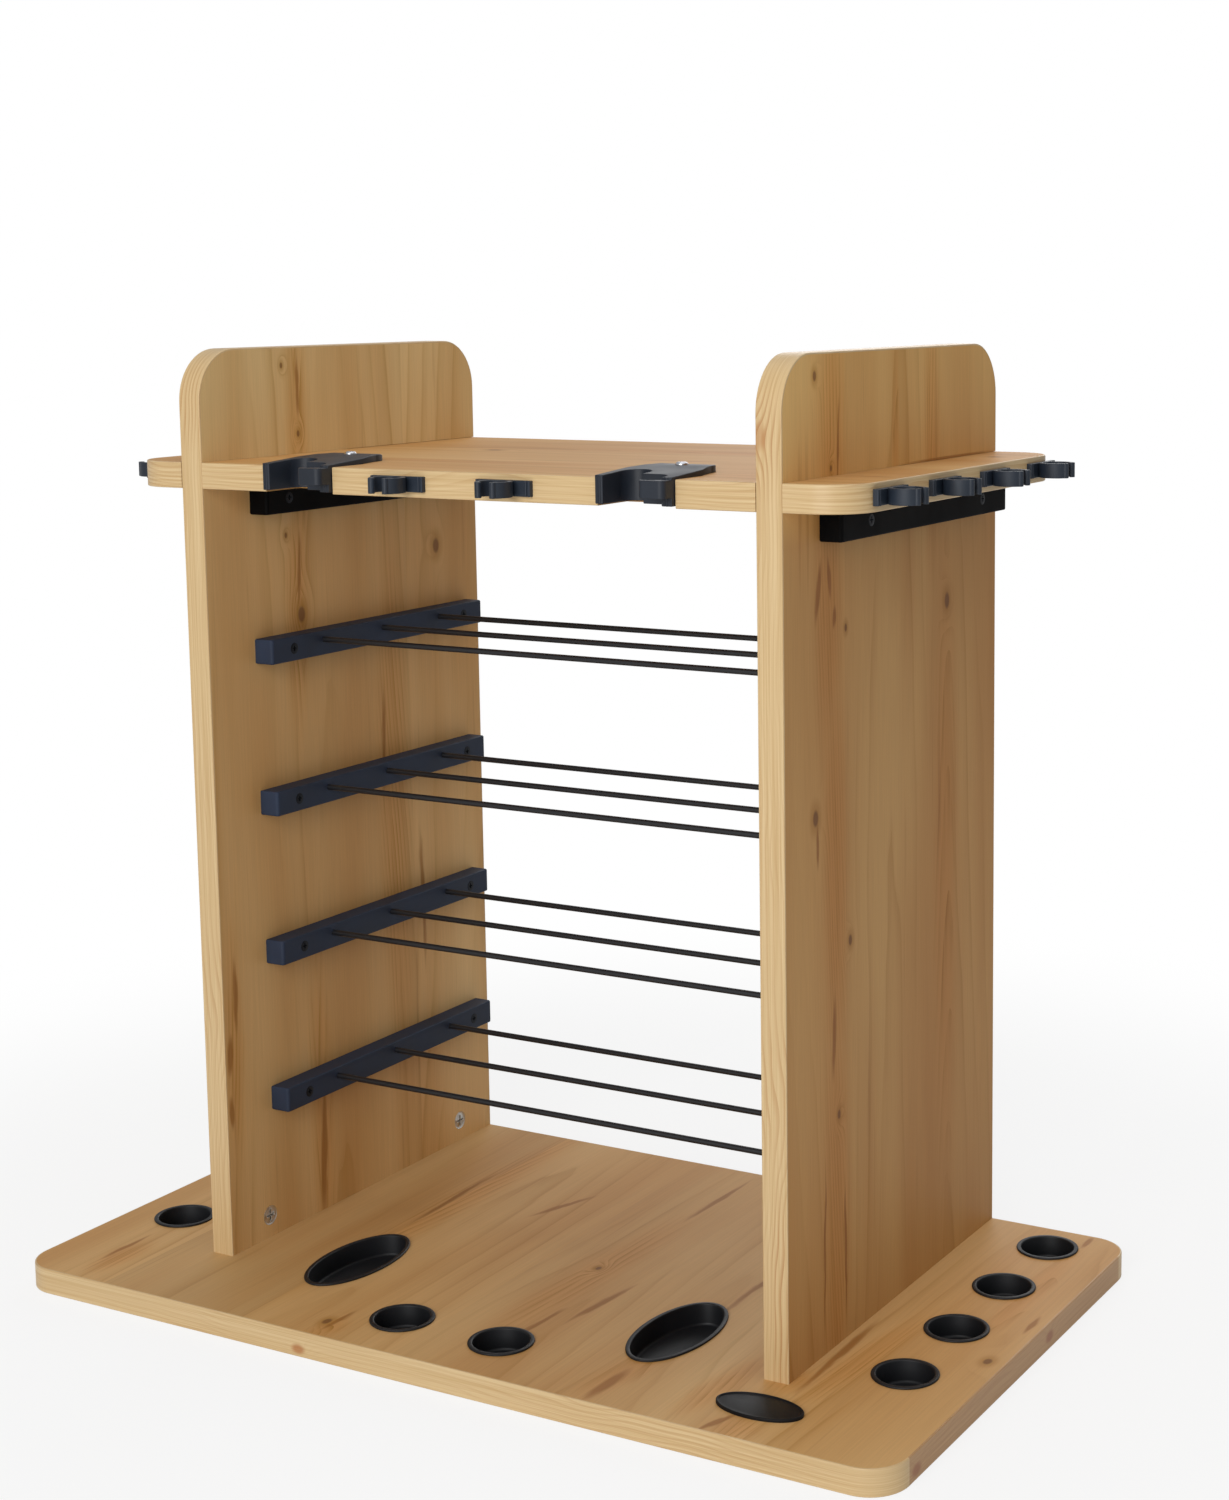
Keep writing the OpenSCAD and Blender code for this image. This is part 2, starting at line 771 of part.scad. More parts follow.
// Cam bolt: thread in the base, smooth shank in the panel, thin neck and head in the cam lock
module cam_bolt() {
    neck_bottom = -cam_r - bolt_clearance;
    translate([0, 0, -cam_rise - bolt_thread_l]) cylinder(h = bolt_thread_l, r = bolt_thread_r);
    translate([0, 0, -cam_rise]) cylinder(h = cam_rise + neck_bottom, r = bolt_shank_r);
    translate([0, 0, neck_bottom]) cylinder(h = -neck_bottom, r = bolt_neck_r);
    translate([0, 0, -bolt_head_h / 2]) cylinder(h = bolt_head_h, r = bolt_head_r);
}

module cam_bolts() {
    color(STEEL) for (s = sides) at_cams(s) translate([board_t / 2, 0, 0]) cam_bolt();
}

module dowels() {
    color(WOOD) for (s = sides) at_dowels(s) translate([0, 0, -dowel_base_depth])
        cylinder(h = dowel_l, r = dowel_r);
}

module panel_screws() {
    color(STEEL) for (s = sides) {
        for (i = [0:rail_levels - 1]) at_rail_screws(s, rail_z(i), rail_screw_end) driven_screw(panel_screw_l);
        at_rail_screws(s, bar_z, inner_bar_screw_end) driven_screw(panel_screw_l);
        at_outer_bar_screws(s, bar_z, outer_bar_screw_end) driven_screw(panel_screw_l);
    }
}

module shelf_screws() {
    color(STEEL) for (s = sides) at_bar_shelf_screws(s) driven_screw(shelf_screw_l);
}

module clip_screws() {
    color(STEEL) at_all_clips() at_clip_screw() driven_screw(clip_screw_l);
}

module dual_clip_screws() {
    color(STEEL) for (s = sides) at_dual_clip(s) at_dual_screw() driven_screw(dual_screw_l);
}

base_board();
base_edge_band();
panel(-1);  // left_panel
panel_edge_band(-1);  // left_panel_edge_band
panel(1);  // right_panel
panel_edge_band(1);  // right_panel_edge_band
top_shelf();
top_shelf_edge_band();
for (i = [1:side_cups]) {
    at_side_cup(-1, i - 1) round_cup();
    at_side_cup(1, i - 1) round_cup();
    at_side_clip(-1, i - 1) rod_clip();
    at_side_clip(1, i - 1) rod_clip();
}
at_front_cup(-1) round_cup();  // round_cup_front_left
at_front_cup(1) round_cup();  // round_cup_front_right
at_oval_cup(-1) oval_cup();  // oval_cup_left
at_oval_cup(1) oval_cup();  // oval_cup_right
name_plate();
at_front_clip(-1) rod_clip();  // rod_clip_front_left
at_front_clip(1) rod_clip();  // rod_clip_front_right
at_dual_clip(-1) dual_clip();  // dual_clip_left
at_dual_clip(1) dual_clip();  // dual_clip_right
for (i = [1:rail_levels]) {
    box_rail(-1, i - 1);
    box_rail(1, i - 1);
    box_wires(i - 1);
}
shelf_bar_inner(-1);  // shelf_bar_left_inner
shelf_bar_outer(-1);  // shelf_bar_left_outer
shelf_bar_inner(1);  // shelf_bar_right_inner
shelf_bar_outer(1);  // shelf_bar_right_outer
cam_lock(-1, cam_front);  // cam_lock_left_front
cam_lock(-1, cam_back);  // cam_lock_left_back
cam_lock(1, cam_front);  // cam_lock_right_front
cam_lock(1, cam_back);  // cam_lock_right_back
cam_bolts();
dowels();
panel_screws();
shelf_screws();
clip_screws();
dual_clip_screws();
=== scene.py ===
# %% [markdown]
# # A fishing rod rack, dressed for its portrait
# The rack is a flat-pack piece of furniture: a base board with butt cups, two side panels that carry
# four levels of box rails, and a top shelf with rod clips. The CAD model already gives every piece
# its exact place. This lesson gives the pieces the look of the real materials, and builds the ones
# whose eased edges, domes and recesses a CAD solid leaves plain. All lengths are in metres.

# %% Load the CAD frame
import math

import bmesh
import bpy
from mathutils import Matrix, Vector


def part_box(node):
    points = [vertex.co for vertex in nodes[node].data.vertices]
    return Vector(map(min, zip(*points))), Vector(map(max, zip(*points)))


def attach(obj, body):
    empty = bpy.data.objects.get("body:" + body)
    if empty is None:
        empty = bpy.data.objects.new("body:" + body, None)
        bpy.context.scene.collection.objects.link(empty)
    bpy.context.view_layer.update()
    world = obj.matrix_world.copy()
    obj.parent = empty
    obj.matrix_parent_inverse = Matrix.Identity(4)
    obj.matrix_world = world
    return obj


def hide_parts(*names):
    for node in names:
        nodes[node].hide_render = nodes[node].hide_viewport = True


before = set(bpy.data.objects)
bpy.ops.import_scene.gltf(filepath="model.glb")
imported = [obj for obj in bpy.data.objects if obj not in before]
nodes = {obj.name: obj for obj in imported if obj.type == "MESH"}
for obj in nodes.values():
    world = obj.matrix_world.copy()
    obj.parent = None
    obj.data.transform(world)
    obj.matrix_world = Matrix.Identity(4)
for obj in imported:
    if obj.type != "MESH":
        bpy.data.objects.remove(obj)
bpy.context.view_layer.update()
MM = 0.001

# %% [markdown]
# ## The rack's main sizes
# A piece made here has to sit on the same lines as the CAD solids, so every size that the new pieces
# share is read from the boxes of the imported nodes. Only shapes that a box can't tell, such as corner
# radii, are written down again.

# %% Sizes read from the CAD nodes
base_low, base_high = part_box("base_edge_band")
panel_low, panel_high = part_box("right_panel_edge_band")
shelf_low, shelf_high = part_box("top_shelf_edge_band")
base_top = base_high.z
BOARD = 15 * MM
BAND = 1 * MM
BASE_CORNER = 22 * MM
PANEL_CORNER = 30 * MM
SHELF_CORNER = 25 * MM
LAP_PLAY = 0.2 * MM
TOUCH = 0.01 * MM
SIDES = ("left", "right")


def middle(node):
    """The middle of a node's box."""
    low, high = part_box(node)
    return (low + high) / 2


def both_sides(stem):
    """The names of the four numbered nodes on the left and the four on the right."""
    return [f"{stem}_{side}_{i}" for side in SIDES for i in range(1, 5)]


print("base", tuple(base_high), "panel", tuple(panel_low), tuple(panel_high), "shelf", tuple(shelf_high))

# %% [markdown]
# ## The camera
# The viewpoint was found from the straight edges of the boards: a little above the shelf, well to the
# right of the middle. A plain perspective camera with that place, turn and lens puts each edge back
# on its line. The small sideways shift of the sensor stands for a picture that was trimmed after it
# was taken.

# %% Camera at the portrait's viewpoint
IMAGE_W, IMAGE_H = 1229, 1500
FOCAL_PIXELS = 2461.9
CENTRE_X, CENTRE_Y = 798.1, 627.8
CAMERA_PLACE = (0.78358, -1.17276, 0.58371)
AZIMUTH, PITCH, ROLL = (math.radians(a) for a in (28.33, 7.83, -0.38))
SENSOR_MM = 36

forward = Vector((-math.sin(AZIMUTH) * math.cos(PITCH), math.cos(AZIMUTH) * math.cos(PITCH),
                  -math.sin(PITCH)))
level = Vector((math.cos(AZIMUTH), math.sin(AZIMUTH), 0))
upright = level.cross(forward)
right = level * math.cos(ROLL) + upright * math.sin(ROLL)
up = upright * math.cos(ROLL) - level * math.sin(ROLL)

camera = bpy.data.objects.new("camera", bpy.data.cameras.new("camera"))
bpy.context.scene.collection.objects.link(camera)
camera_turn = Matrix((right, up, -forward)).transposed().to_4x4()
camera.matrix_world = Matrix.Translation(CAMERA_PLACE) @ camera_turn
camera.data.sensor_fit = "AUTO"
camera.data.sensor_width = SENSOR_MM
camera.data.lens = FOCAL_PIXELS * SENSOR_MM / IMAGE_H
camera.data.shift_x = (IMAGE_W / 2 - CENTRE_X) / IMAGE_H
camera.data.shift_y = (CENTRE_Y - IMAGE_H / 2) / IMAGE_H
camera.data.clip_start, camera.data.clip_end = 0.05, 50
bpy.context.scene.camera = camera
print("lens", round(camera.data.lens, 2), "shift", round(camera.data.shift_x, 4),
      round(camera.data.shift_y, 4))

# %% [markdown]
# ## Small helpers for materials
# Colours are written the way a paint chart gives them, as sRGB hex values, and turned to the linear
# numbers that a shader works in. Every material is a little tree of nodes, so one helper adds a node,
# sets its settings and plugs in its inputs.

# %% Colour and node helpers
def colour(hex_code):
    """Linear RGBA of an sRGB hex value such as C89B62."""
    parts = [int(hex_code[i:i + 2], 16) / 255 for i in (0, 2, 4)]
    return [c / 12.92 if c <= 0.04045 else ((c + 0.055) / 1.055) ** 2.4 for c in parts] + [1]


def plug(tree, node, inputs):
    """Fills a node's inputs from a list, or from pairs of an input's name or number and what it takes: a
    value, another node's output, or another node, which gives its first output that is in use."""
    for key, value in inputs.items() if isinstance(inputs, dict) else enumerate(inputs):
        if isinstance(value, bpy.types.Node):
            value = next(output for output in value.outputs if output.enabled)
        if isinstance(value, bpy.types.NodeSocket):
            tree.links.new(value, node.inputs[key])
        else:
            node.inputs[key].default_value = value


def add(tree, kind, inputs=(), **settings):
    """Adds a node with its settings and its inputs."""
    node = tree.nodes.new(kind)
    for name, value in settings.items():
        setattr(node, name, value)
    plug(tree, node, inputs)
    return node


def new_material(name, **shader_values):
    """A material with one Principled shader whose plain values are set on its own sockets."""
    material = bpy.data.materials.new(name)
    material.use_nodes = True
    shader = material.node_tree.nodes["Principled BSDF"]
    for key, value in shader_values.items():
        shader.inputs[key.replace("_", " ")].default_value = value
    return material, material.node_tree, shader


print("tan in linear light:", [round(c, 3) for c in colour("C89B62")])

# %% [markdown]
# ## How pine is drawn
# Two kinds of pine follow, the veneer of the boards and the band on their edges. An image of wood would
# repeat and blur, so both are drawn by rule, from the same few strokes: noise stretched along the grain,
# yearly rings that rise and start again, marks such as knots at known places, and coats of colour laid
# one over another. Working in millimetres keeps every width a real one.

# %% Strokes that both kinds of pine share
TO_MM = 1 / MM
FAR = 99.0


def stretched_noise(tree, place, size, detail=2.0, seed=0.0):
    """Noise whose blobs are about as long, wide and deep as size. Another seed gives other blobs."""
    shift = (seed, seed, seed)
    squeezed = add(tree, "ShaderNodeMapping", {0: place, 1: shift, 3: [1 / s for s in size]})
    return add(tree, "ShaderNodeTexNoise", {0: squeezed, "Scale": 1, "Detail": detail})


def rings(tree, distance, width):
    """Rises from 0 to 1 across each ring of that width, then starts again."""
    count = add(tree, "ShaderNodeMath", [distance, width], operation="DIVIDE")
    return add(tree, "ShaderNodeMath", [count], operation="FRACT")


def distance_to(tree, place, marks):
    """Distance to the nearest ellipse, 1 on its rim. Each mark is (centre, half sizes, turn about Y)."""
    nearest = FAR
    for centre, half_sizes, turn in marks:
        local = add(tree, "ShaderNodeMapping", [place, centre, (0, turn, 0), half_sizes],
                    vector_type="TEXTURE")
        length = add(tree, "ShaderNodeVectorMath", [local], operation="LENGTH")
        nearest = add(tree, "ShaderNodeMath", [nearest, length], operation="MINIMUM")
    return nearest


def bulge(tree, distance, steepness):
    """1 on a mark and less and less away from it, like a bell: it pushes the rings round a knot."""
    squared = add(tree, "ShaderNodeMath", [distance, 2], operation="POWER")
    fall = add(tree, "ShaderNodeMath", [squared, -steepness], operation="MULTIPLY")
    return add(tree, "ShaderNodeMath", [fall], operation="EXPONENT")


def coats(tree, ground, layers):
    """Lays colours over a ground, one after another. A layer is (how much of it shows, hex colour)."""
    for amount, tone in layers:
        ground = add(tree, "ShaderNodeMix", {0: amount, 6: ground, 7: colour(tone)}, data_type="RGBA")
    return ground


# %% [markdown]
# ## Knotty pine veneer
# The faces of the boards are pine veneer under a satin lacquer, laid in leaves a hand wide. Pine shows
# its yearly rings as long arches where the cut runs nearly along them, with darker, redder late wood
# at each ring's edge, and brown knots that the rings flow round. So the figure is made the way the
# tree makes it: rings round a pith line that lies a little under the face, tilted and bent by slow
# noise, cut by the board's own surface.

# %% Leaves of veneer and the rings in them
LEAF_WIDTH = 104
RING_WIDTH = 14
FIGURE_WIDTH = 3.4


def grain_noise(tree, board, wide, long, detail=2.0, seed=0.0):
    """Noise stretched along a board's grain."""
    return stretched_noise(tree, board, (wide, wide, long), detail, seed)


def leaf_rings(tree, board):
    """Where a point lies among the rings of its leaf, how far they wobble, and the leaf's random number.
    The pith keeps to the middle 70 % of the leaf, 12 to 34 mm under the face, dips by 2 to 7 mm in 100,
    and sways by up to 21 mm to each side."""
    across, _, along = add(tree, "ShaderNodeSeparateXYZ", [board]).outputs
    leaves = add(tree, "ShaderNodeMath", [across, LEAF_WIDTH], operation="DIVIDE")
    leaf = add(tree, "ShaderNodeMath", [leaves], operation="FLOOR")
    random = add(tree, "ShaderNodeTexWhiteNoise", {"W": leaf}, noise_dimensions="1D")
    red, green, blue = add(tree, "ShaderNodeSeparateColor", [random.outputs["Color"]]).outputs
    share = add(tree, "ShaderNodeMath", [red, 0.7, 0.15], operation="MULTIPLY_ADD")
    depth = add(tree, "ShaderNodeMath", [green, 22, 12], operation="MULTIPLY_ADD")
    dip = add(tree, "ShaderNodeMath", [blue, 0.05, 0.02], operation="MULTIPLY_ADD")
    pith_leaves = add(tree, "ShaderNodeMath", [leaf, share], operation="ADD")
    pith = add(tree, "ShaderNodeMath", [pith_leaves, LEAF_WIDTH], operation="MULTIPLY")
    slow = grain_noise(tree, board, 90, 420, 1.0)
    sway = add(tree, "ShaderNodeMath", [slow, 42, -21], operation="MULTIPLY_ADD")
    off_pith = add(tree, "ShaderNodeMath", [across, pith], operation="SUBTRACT")
    swayed = add(tree, "ShaderNodeMath", [off_pith, sway], operation="ADD")
    to_pith = add(tree, "ShaderNodeCombineXYZ", [swayed, depth])
    radius = add(tree, "ShaderNodeVectorMath", [to_pith], operation="LENGTH")
    cone = add(tree, "ShaderNodeMath", [along, dip, radius], operation="MULTIPLY_ADD")
    quick = grain_noise(tree, board, 16, 110)
    wobble = add(tree, "ShaderNodeMath", [quick, 7, -3.5], operation="MULTIPLY_ADD")
    return cone, wobble, blue


def late_wood(tree, board, ring_at):
    """The thin dark line at the end of each ring, clearer in some patches than in others."""
    late = add(tree, "ShaderNodeValToRGB", [rings(tree, ring_at, RING_WIDTH)])
    first_stop, last_stop = late.color_ramp.elements
    first_stop.position, first_stop.color = 0.0, (0.5, 0.5, 0.5, 1)
    last_stop.position, last_stop.color = 0.97, (1, 1, 1, 1)
    for position, level in ((0.05, 0.05), (0.55, 0.10), (0.84, 0.45)):
        late.color_ramp.elements.new(position).color = (level, level, level, 1)
    slow = grain_noise(tree, board, 34, 300, seed=7.0)
    clearness = add(tree, "ShaderNodeMapRange", [slow, 0.42, 0.68, 0.04, 0.45])
    return add(tree, "ShaderNodeMath", [late, clearness], operation="MULTIPLY")


def figure_lines(tree, board, close_at, patch):
    """The fine broken lines of a figured patch, where the rings lie close together."""
    line = add(tree, "ShaderNodeMath", [rings(tree, close_at, FIGURE_WIDTH), 2.2], operation="POWER")
    gaps = grain_noise(tree, board, 4, 70, seed=23.0)
    broken = add(tree, "ShaderNodeMapRange", [gaps, 0.35, 0.62, 0.2, 0.9])
    broken_line = add(tree, "ShaderNodeMath", [line, broken], operation="MULTIPLY")
    return add(tree, "ShaderNodeMath", [broken_line, patch], operation="MULTIPLY")


# %% The pine veneer material
THROUGH = 10000
# Painted light on a board's top fades in over this many mm
PAINTED_LIGHT_RISE = 30
PINE_LIGHT, PINE_TAN, PINE_WARM = "D0A66C", "BD8B50", "C28746"
PINE_LATE, PINE_STREAK_AND_SHADOW_LINE, PINE_KNOT = "9E6A20", "8C5418", "6E431C"


def pine_veneer(name, turn, shift, tint, knots, streaks, figured, top=None):
    """Pine veneer with its grain turned along the board, in mm. tint makes a whole board paler or darker;
    on the two panels it is painted light and shade. top, if given, is (height, tint) for what lies above
    that height, a paler tint that is painted light for the brighter light there. knots are (across, along,
    radius), and streaks and figured patches, where fine lines show, are (across, along, half width, half
    length, slope); the streaks may also hold a painted shadow line along a joint."""
    material, tree, shader = new_material(name, Roughness=0.58, IOR=1.5, Specular_IOR_Level=0.35)
    place = add(tree, "ShaderNodeTexCoord").outputs["Object"]
    turned = add(tree, "ShaderNodeMapping", {0: place, 2: turn})
    flat = add(tree, "ShaderNodeMapping", {0: turned, 3: (TO_MM, TO_MM, TO_MM)})
    board = add(tree, "ShaderNodeMapping", {0: flat, 1: shift})
    cone, wobble, chance = leaf_rings(tree, board)

    # Knots are half as long again along the grain, and the rings flow round them
    nearest = distance_to(tree, flat, [((x, 0, z), (r, THROUGH, 1.5 * r), 0) for x, z, r in knots])
    near_knot = bulge(tree, nearest, 0.1)
    wobbled = add(tree, "ShaderNodeMath", [cone, wobble], operation="ADD")
    ring_at = add(tree, "ShaderNodeMath", [near_knot, 16, wobbled], operation="MULTIPLY_ADD")
    steadier = add(tree, "ShaderNodeMath", [wobble, 0.3, cone], operation="MULTIPLY_ADD")
    close_at = add(tree, "ShaderNodeMath", [near_knot, 9, steadier], operation="MULTIPLY_ADD")

    # Figured patches, resin streaks and painted shadow lines are slanted marks, whose edges waver by 2 mm
    ripple = grain_noise(tree, board, 5, 26, seed=17.0)
    waver = add(tree, "ShaderNodeMath", [ripple, 4, -2], operation="MULTIPLY_ADD")
    sideways = add(tree, "ShaderNodeCombineXYZ", [waver])
    bent = add(tree, "ShaderNodeVectorMath", [flat, sideways], operation="ADD")

    def marked(marks):
        return distance_to(tree, bent, [((x, 0, z), (half_width, THROUGH, half_length), math.atan(slope))
                                        for x, z, half_width, half_length, slope in marks])

    patch = add(tree, "ShaderNodeMapRange", [marked(figured), 1.7, 0.3, 0.0, 1.0],
                interpolation_type="SMOOTHSTEP")
    placed = add(tree, "ShaderNodeMapRange", [marked(streaks), 1.3, 0.5, 0.0, 0.75],
                 interpolation_type="SMOOTHSTEP")
    anywhere = grain_noise(tree, board, 5, 170, seed=3.0)
    strewn = add(tree, "ShaderNodeMapRange", [anywhere, 0.66, 0.82, 0.0, 0.4])
    lines = [late_wood(tree, board, ring_at), figure_lines(tree, board, close_at, patch)]

    # The colours, from the pale ground to the dark heart of a knot
    drift = grain_noise(tree, board, 60, 500, seed=5.0)
    wood = coats(tree, colour(PINE_LIGHT), [
        (add(tree, "ShaderNodeMapRange", [drift, 0.34, 0.66]), PINE_TAN),
        (add(tree, "ShaderNodeMath", [patch, 0.6], operation="MULTIPLY"), PINE_WARM),
        (add(tree, "ShaderNodeMath", lines, operation="MAXIMUM"), PINE_LATE),
        (add(tree, "ShaderNodeMath", [placed, strewn], operation="MAXIMUM"), PINE_STREAK_AND_SHADOW_LINE),
        (add(tree, "ShaderNodeMapRange", [nearest, 2.8, 0.9, 0.0, 0.5], interpolation_type="SMOOTHSTEP"),
         PINE_LATE),
        (add(tree, "ShaderNodeMapRange", [nearest, 1.15, 0.6, 0.0, 0.8], interpolation_type="SMOOTHSTEP"),
         PINE_KNOT)])

    # Fibres 0.7 mm wide, the tone of each leaf and the tint of the board
    fibres = grain_noise(tree, board, 0.7, 45, 3.0, 11.0)
    fibre_tone = add(tree, "ShaderNodeMapRange", [fibres, 0.3, 0.7, 0.95, 1.04])
    leaf_tone = add(tree, "ShaderNodeMath", [chance, 0.14, 0.92], operation="MULTIPLY_ADD")
    tone = add(tree, "ShaderNodeMath", [fibre_tone, leaf_tone], operation="MULTIPLY")
    toned = add(tree, "ShaderNodeVectorMath", [wood, tone], operation="MULTIPLY")
    # Painted light: above the given height the tint turns paler over 30 mm, for the brighter light there
    if top:
        level, painted_light_tint = top
        height = add(tree, "ShaderNodeSeparateXYZ", [flat]).outputs["Z"]
        rise = add(tree, "ShaderNodeMapRange", [height, level, level + PAINTED_LIGHT_RISE])
        tint = add(tree, "ShaderNodeMix", {0: rise, 6: (*tint, 1), 7: (*painted_light_tint, 1)}, data_type="RGBA")
    tinted = add(tree, "ShaderNodeVectorMath", [toned, tint], operation="MULTIPLY")
    bump = add(tree, "ShaderNodeBump", {"Height": fibres, "Strength": 0.2, "Distance": 0.05 * MM})
    plug(tree, shader, {"Base Color": tinted, "Normal": bump})
    return material


# %% [markdown]
# ## Four boards, four veneers
# No two boards of a real rack are alike, so each gets its own leaves and its own knots. The few marks
# of which the place is known are listed in millimetres from the rack's middle line and from the floor;
# noise fills in the rest. The grain runs up the panels, front to back on the base and along the shelf.
# The panels' tops, which stand free above the shelf, take a paler tint: painted light for the brighter light
# they stand in.

# %% The veneer of each board
UPRIGHT_GRAIN = (0, 0, math.radians(-90))
DEPTHWISE_GRAIN = (math.radians(90), 0, 0)
LENGTHWISE_GRAIN = (0, math.radians(-90), math.radians(-90))
# Height in mm from which the panels take their painted light
PAINTED_LIGHT_FROM = 455
base_veneer = pine_veneer(
    "knotty_pine_veneer_base", DEPTHWISE_GRAIN, (13, 0, 40), (1.08, 1.14, 1.24),
    [(277, -25, 2.6), (23, -14, 1.8), (-71, -147, 2.6), (-215, 60, 3)],
    [(111, -142, 3.4, 21, 0.06), (184, -154, 2.2, 14, 0.38), (203, -57, 2.4, 47, -0.03),
     (-51, 59, 2.2, 24, 0.37), (31, 112, 2.0, 37, 0.03), (52, -56, 2.2, 30, 0.11),
     (36, -92, 1.8, 20, 0.09), (263, 154, 2.0, 9, 0), (280, 29, 1.8, 12, 0), (-248, -117, 2.0, 20, 0),
     (-66, -143, 1.8, 14, 0.05), (120, 20, 2.4, 60, 0.02), (-120, 40, 2.0, 46, -0.04)],
    [(111, -122, 10, 42, 0.2), (165, -118, 9, 34, 0.1), (197, -96, 9, 14, 0), (196, -154, 12, 12, 0.2),
     (24, -20, 11, 80, 0.03), (216, -60, 8, 60, 0.1), (-240, -130, 9, 22, 0), (-115, 30, 12, 130, 0),
     (-64, -154, 7, 12, 0.1), (262, 70, 7, 60, 0)])
# The left panel's whole tint is paler: painted light for the light its inner side catches
left_veneer = pine_veneer(
    "knotty_pine_veneer_left_panel", UPRIGHT_GRAIN, (120, 5, 0), (1.2, 1.33, 1.5),
    [(-16, 391, 3.6), (-27, 541, 1.3), (-28, 440, 1.3), (-13.5, 500, 1.5), (120, 420, 3.5)],
    [(-13, 528, 2.0, 17, 0), (-17, 418, 1.5, 22, 0.08), (-11.5, 51, 3.4, 40, 0.05),
     (-94, 137, 2.4, 12, 0.05), (-94.6, 102, 2.2, 10, 0), (-88, 172, 2.0, 22, 0),
     (60, 300, 1.8, 34, 0.02), (96, 190, 2.2, 44, -0.03)],
    [(-14, 500, 9, 60, 0), (-12, 90, 9, 80, 0), (-90, 140, 6, 60, 0), (-20, 390, 9, 60, 0.04),
     (70, 260, 14, 150, 0)],
    (PAINTED_LIGHT_FROM, (1.24, 1.5, 1.8)))
# The right panel's whole tint is darker: painted shade on its outer side
right_veneer = pine_veneer(
    "knotty_pine_veneer_right_panel", UPRIGHT_GRAIN, (31, 40, 300), (0.92, 0.86, 0.76),
    [(96.7, 407, 3.4), (-65, 311, 3.2), (-30, 407, 1.6), (-63.7, 540, 2.0), (-26, 237, 2.2),
     (-40, 144, 1.9), (-46, 492, 1.3)],
    [(-61, 429, 2.8, 16, 0.17), (-48.7, 435, 2.0, 11, -0.12), (-42.5, 414, 2.0, 6, 0.1),
     # (100, 488.7, 56, 0.9, 0) is no streak but a painted shadow line along the joint where the shelf meets
     # the panel
     (-38, 504, 0.9, 26, 0.06), (100, 488.7, 56, 0.9, 0), (-45.5, 188, 2.4, 22, 0.04),
     (-57, 74, 1.3, 44, 0.02), (-32.6, 65, 1.3, 40, -0.02), (-63, 296, 1.8, 12, 0)],
    [(-44, 512, 13, 46, 0), (-50, 412, 13, 62, 0), (-43, 276, 11, 100, 0), (-43, 90, 13, 90, 0),
     (30, 508, 4, 44, 0), (76, 505, 9, 60, 0), (95, 250, 12, 150, 0)],
    (PAINTED_LIGHT_FROM, (1.26, 1.31, 1.19)))
shelf_veneer = pine_veneer(
    "knotty_pine_veneer_shelf", LENGTHWISE_GRAIN, (52, 0, 700), (1.04, 1.02, 0.97),
    [(60, -90, 3.2), (120, 215, 2.6)], [(20, 60, 1.8, 30, 0.04), (-40, 216, 1.8, 12, 0)],
    [(-30, -60, 10, 120, 0.02), (90, 100, 12, 130, 0)])
print("nodes in the base's veneer:", len(base_veneer.node_tree.nodes))

# %% [markdown]
# ## Pine edge band
# The raw edges of the boards are covered with a thin band of pale pine, glued on lengthwise. Its fine
# lines follow the edge all the way round, also round the corners, so the pattern can't be fixed to the
# room's axes: it reads a UV map in which U is the length along the band and V the way across it.

# %% The edge band material
BAND_RING = 3.1
BAND_JOINT = 2
BAND_LIGHT, BAND_TAN, BAND_FLAME = "DCC091", "C09A62", "AE743A"
BAND_KNOT, BAND_DARK_PIECE_AND_SHADE = "AC682E", "E0C9B4"


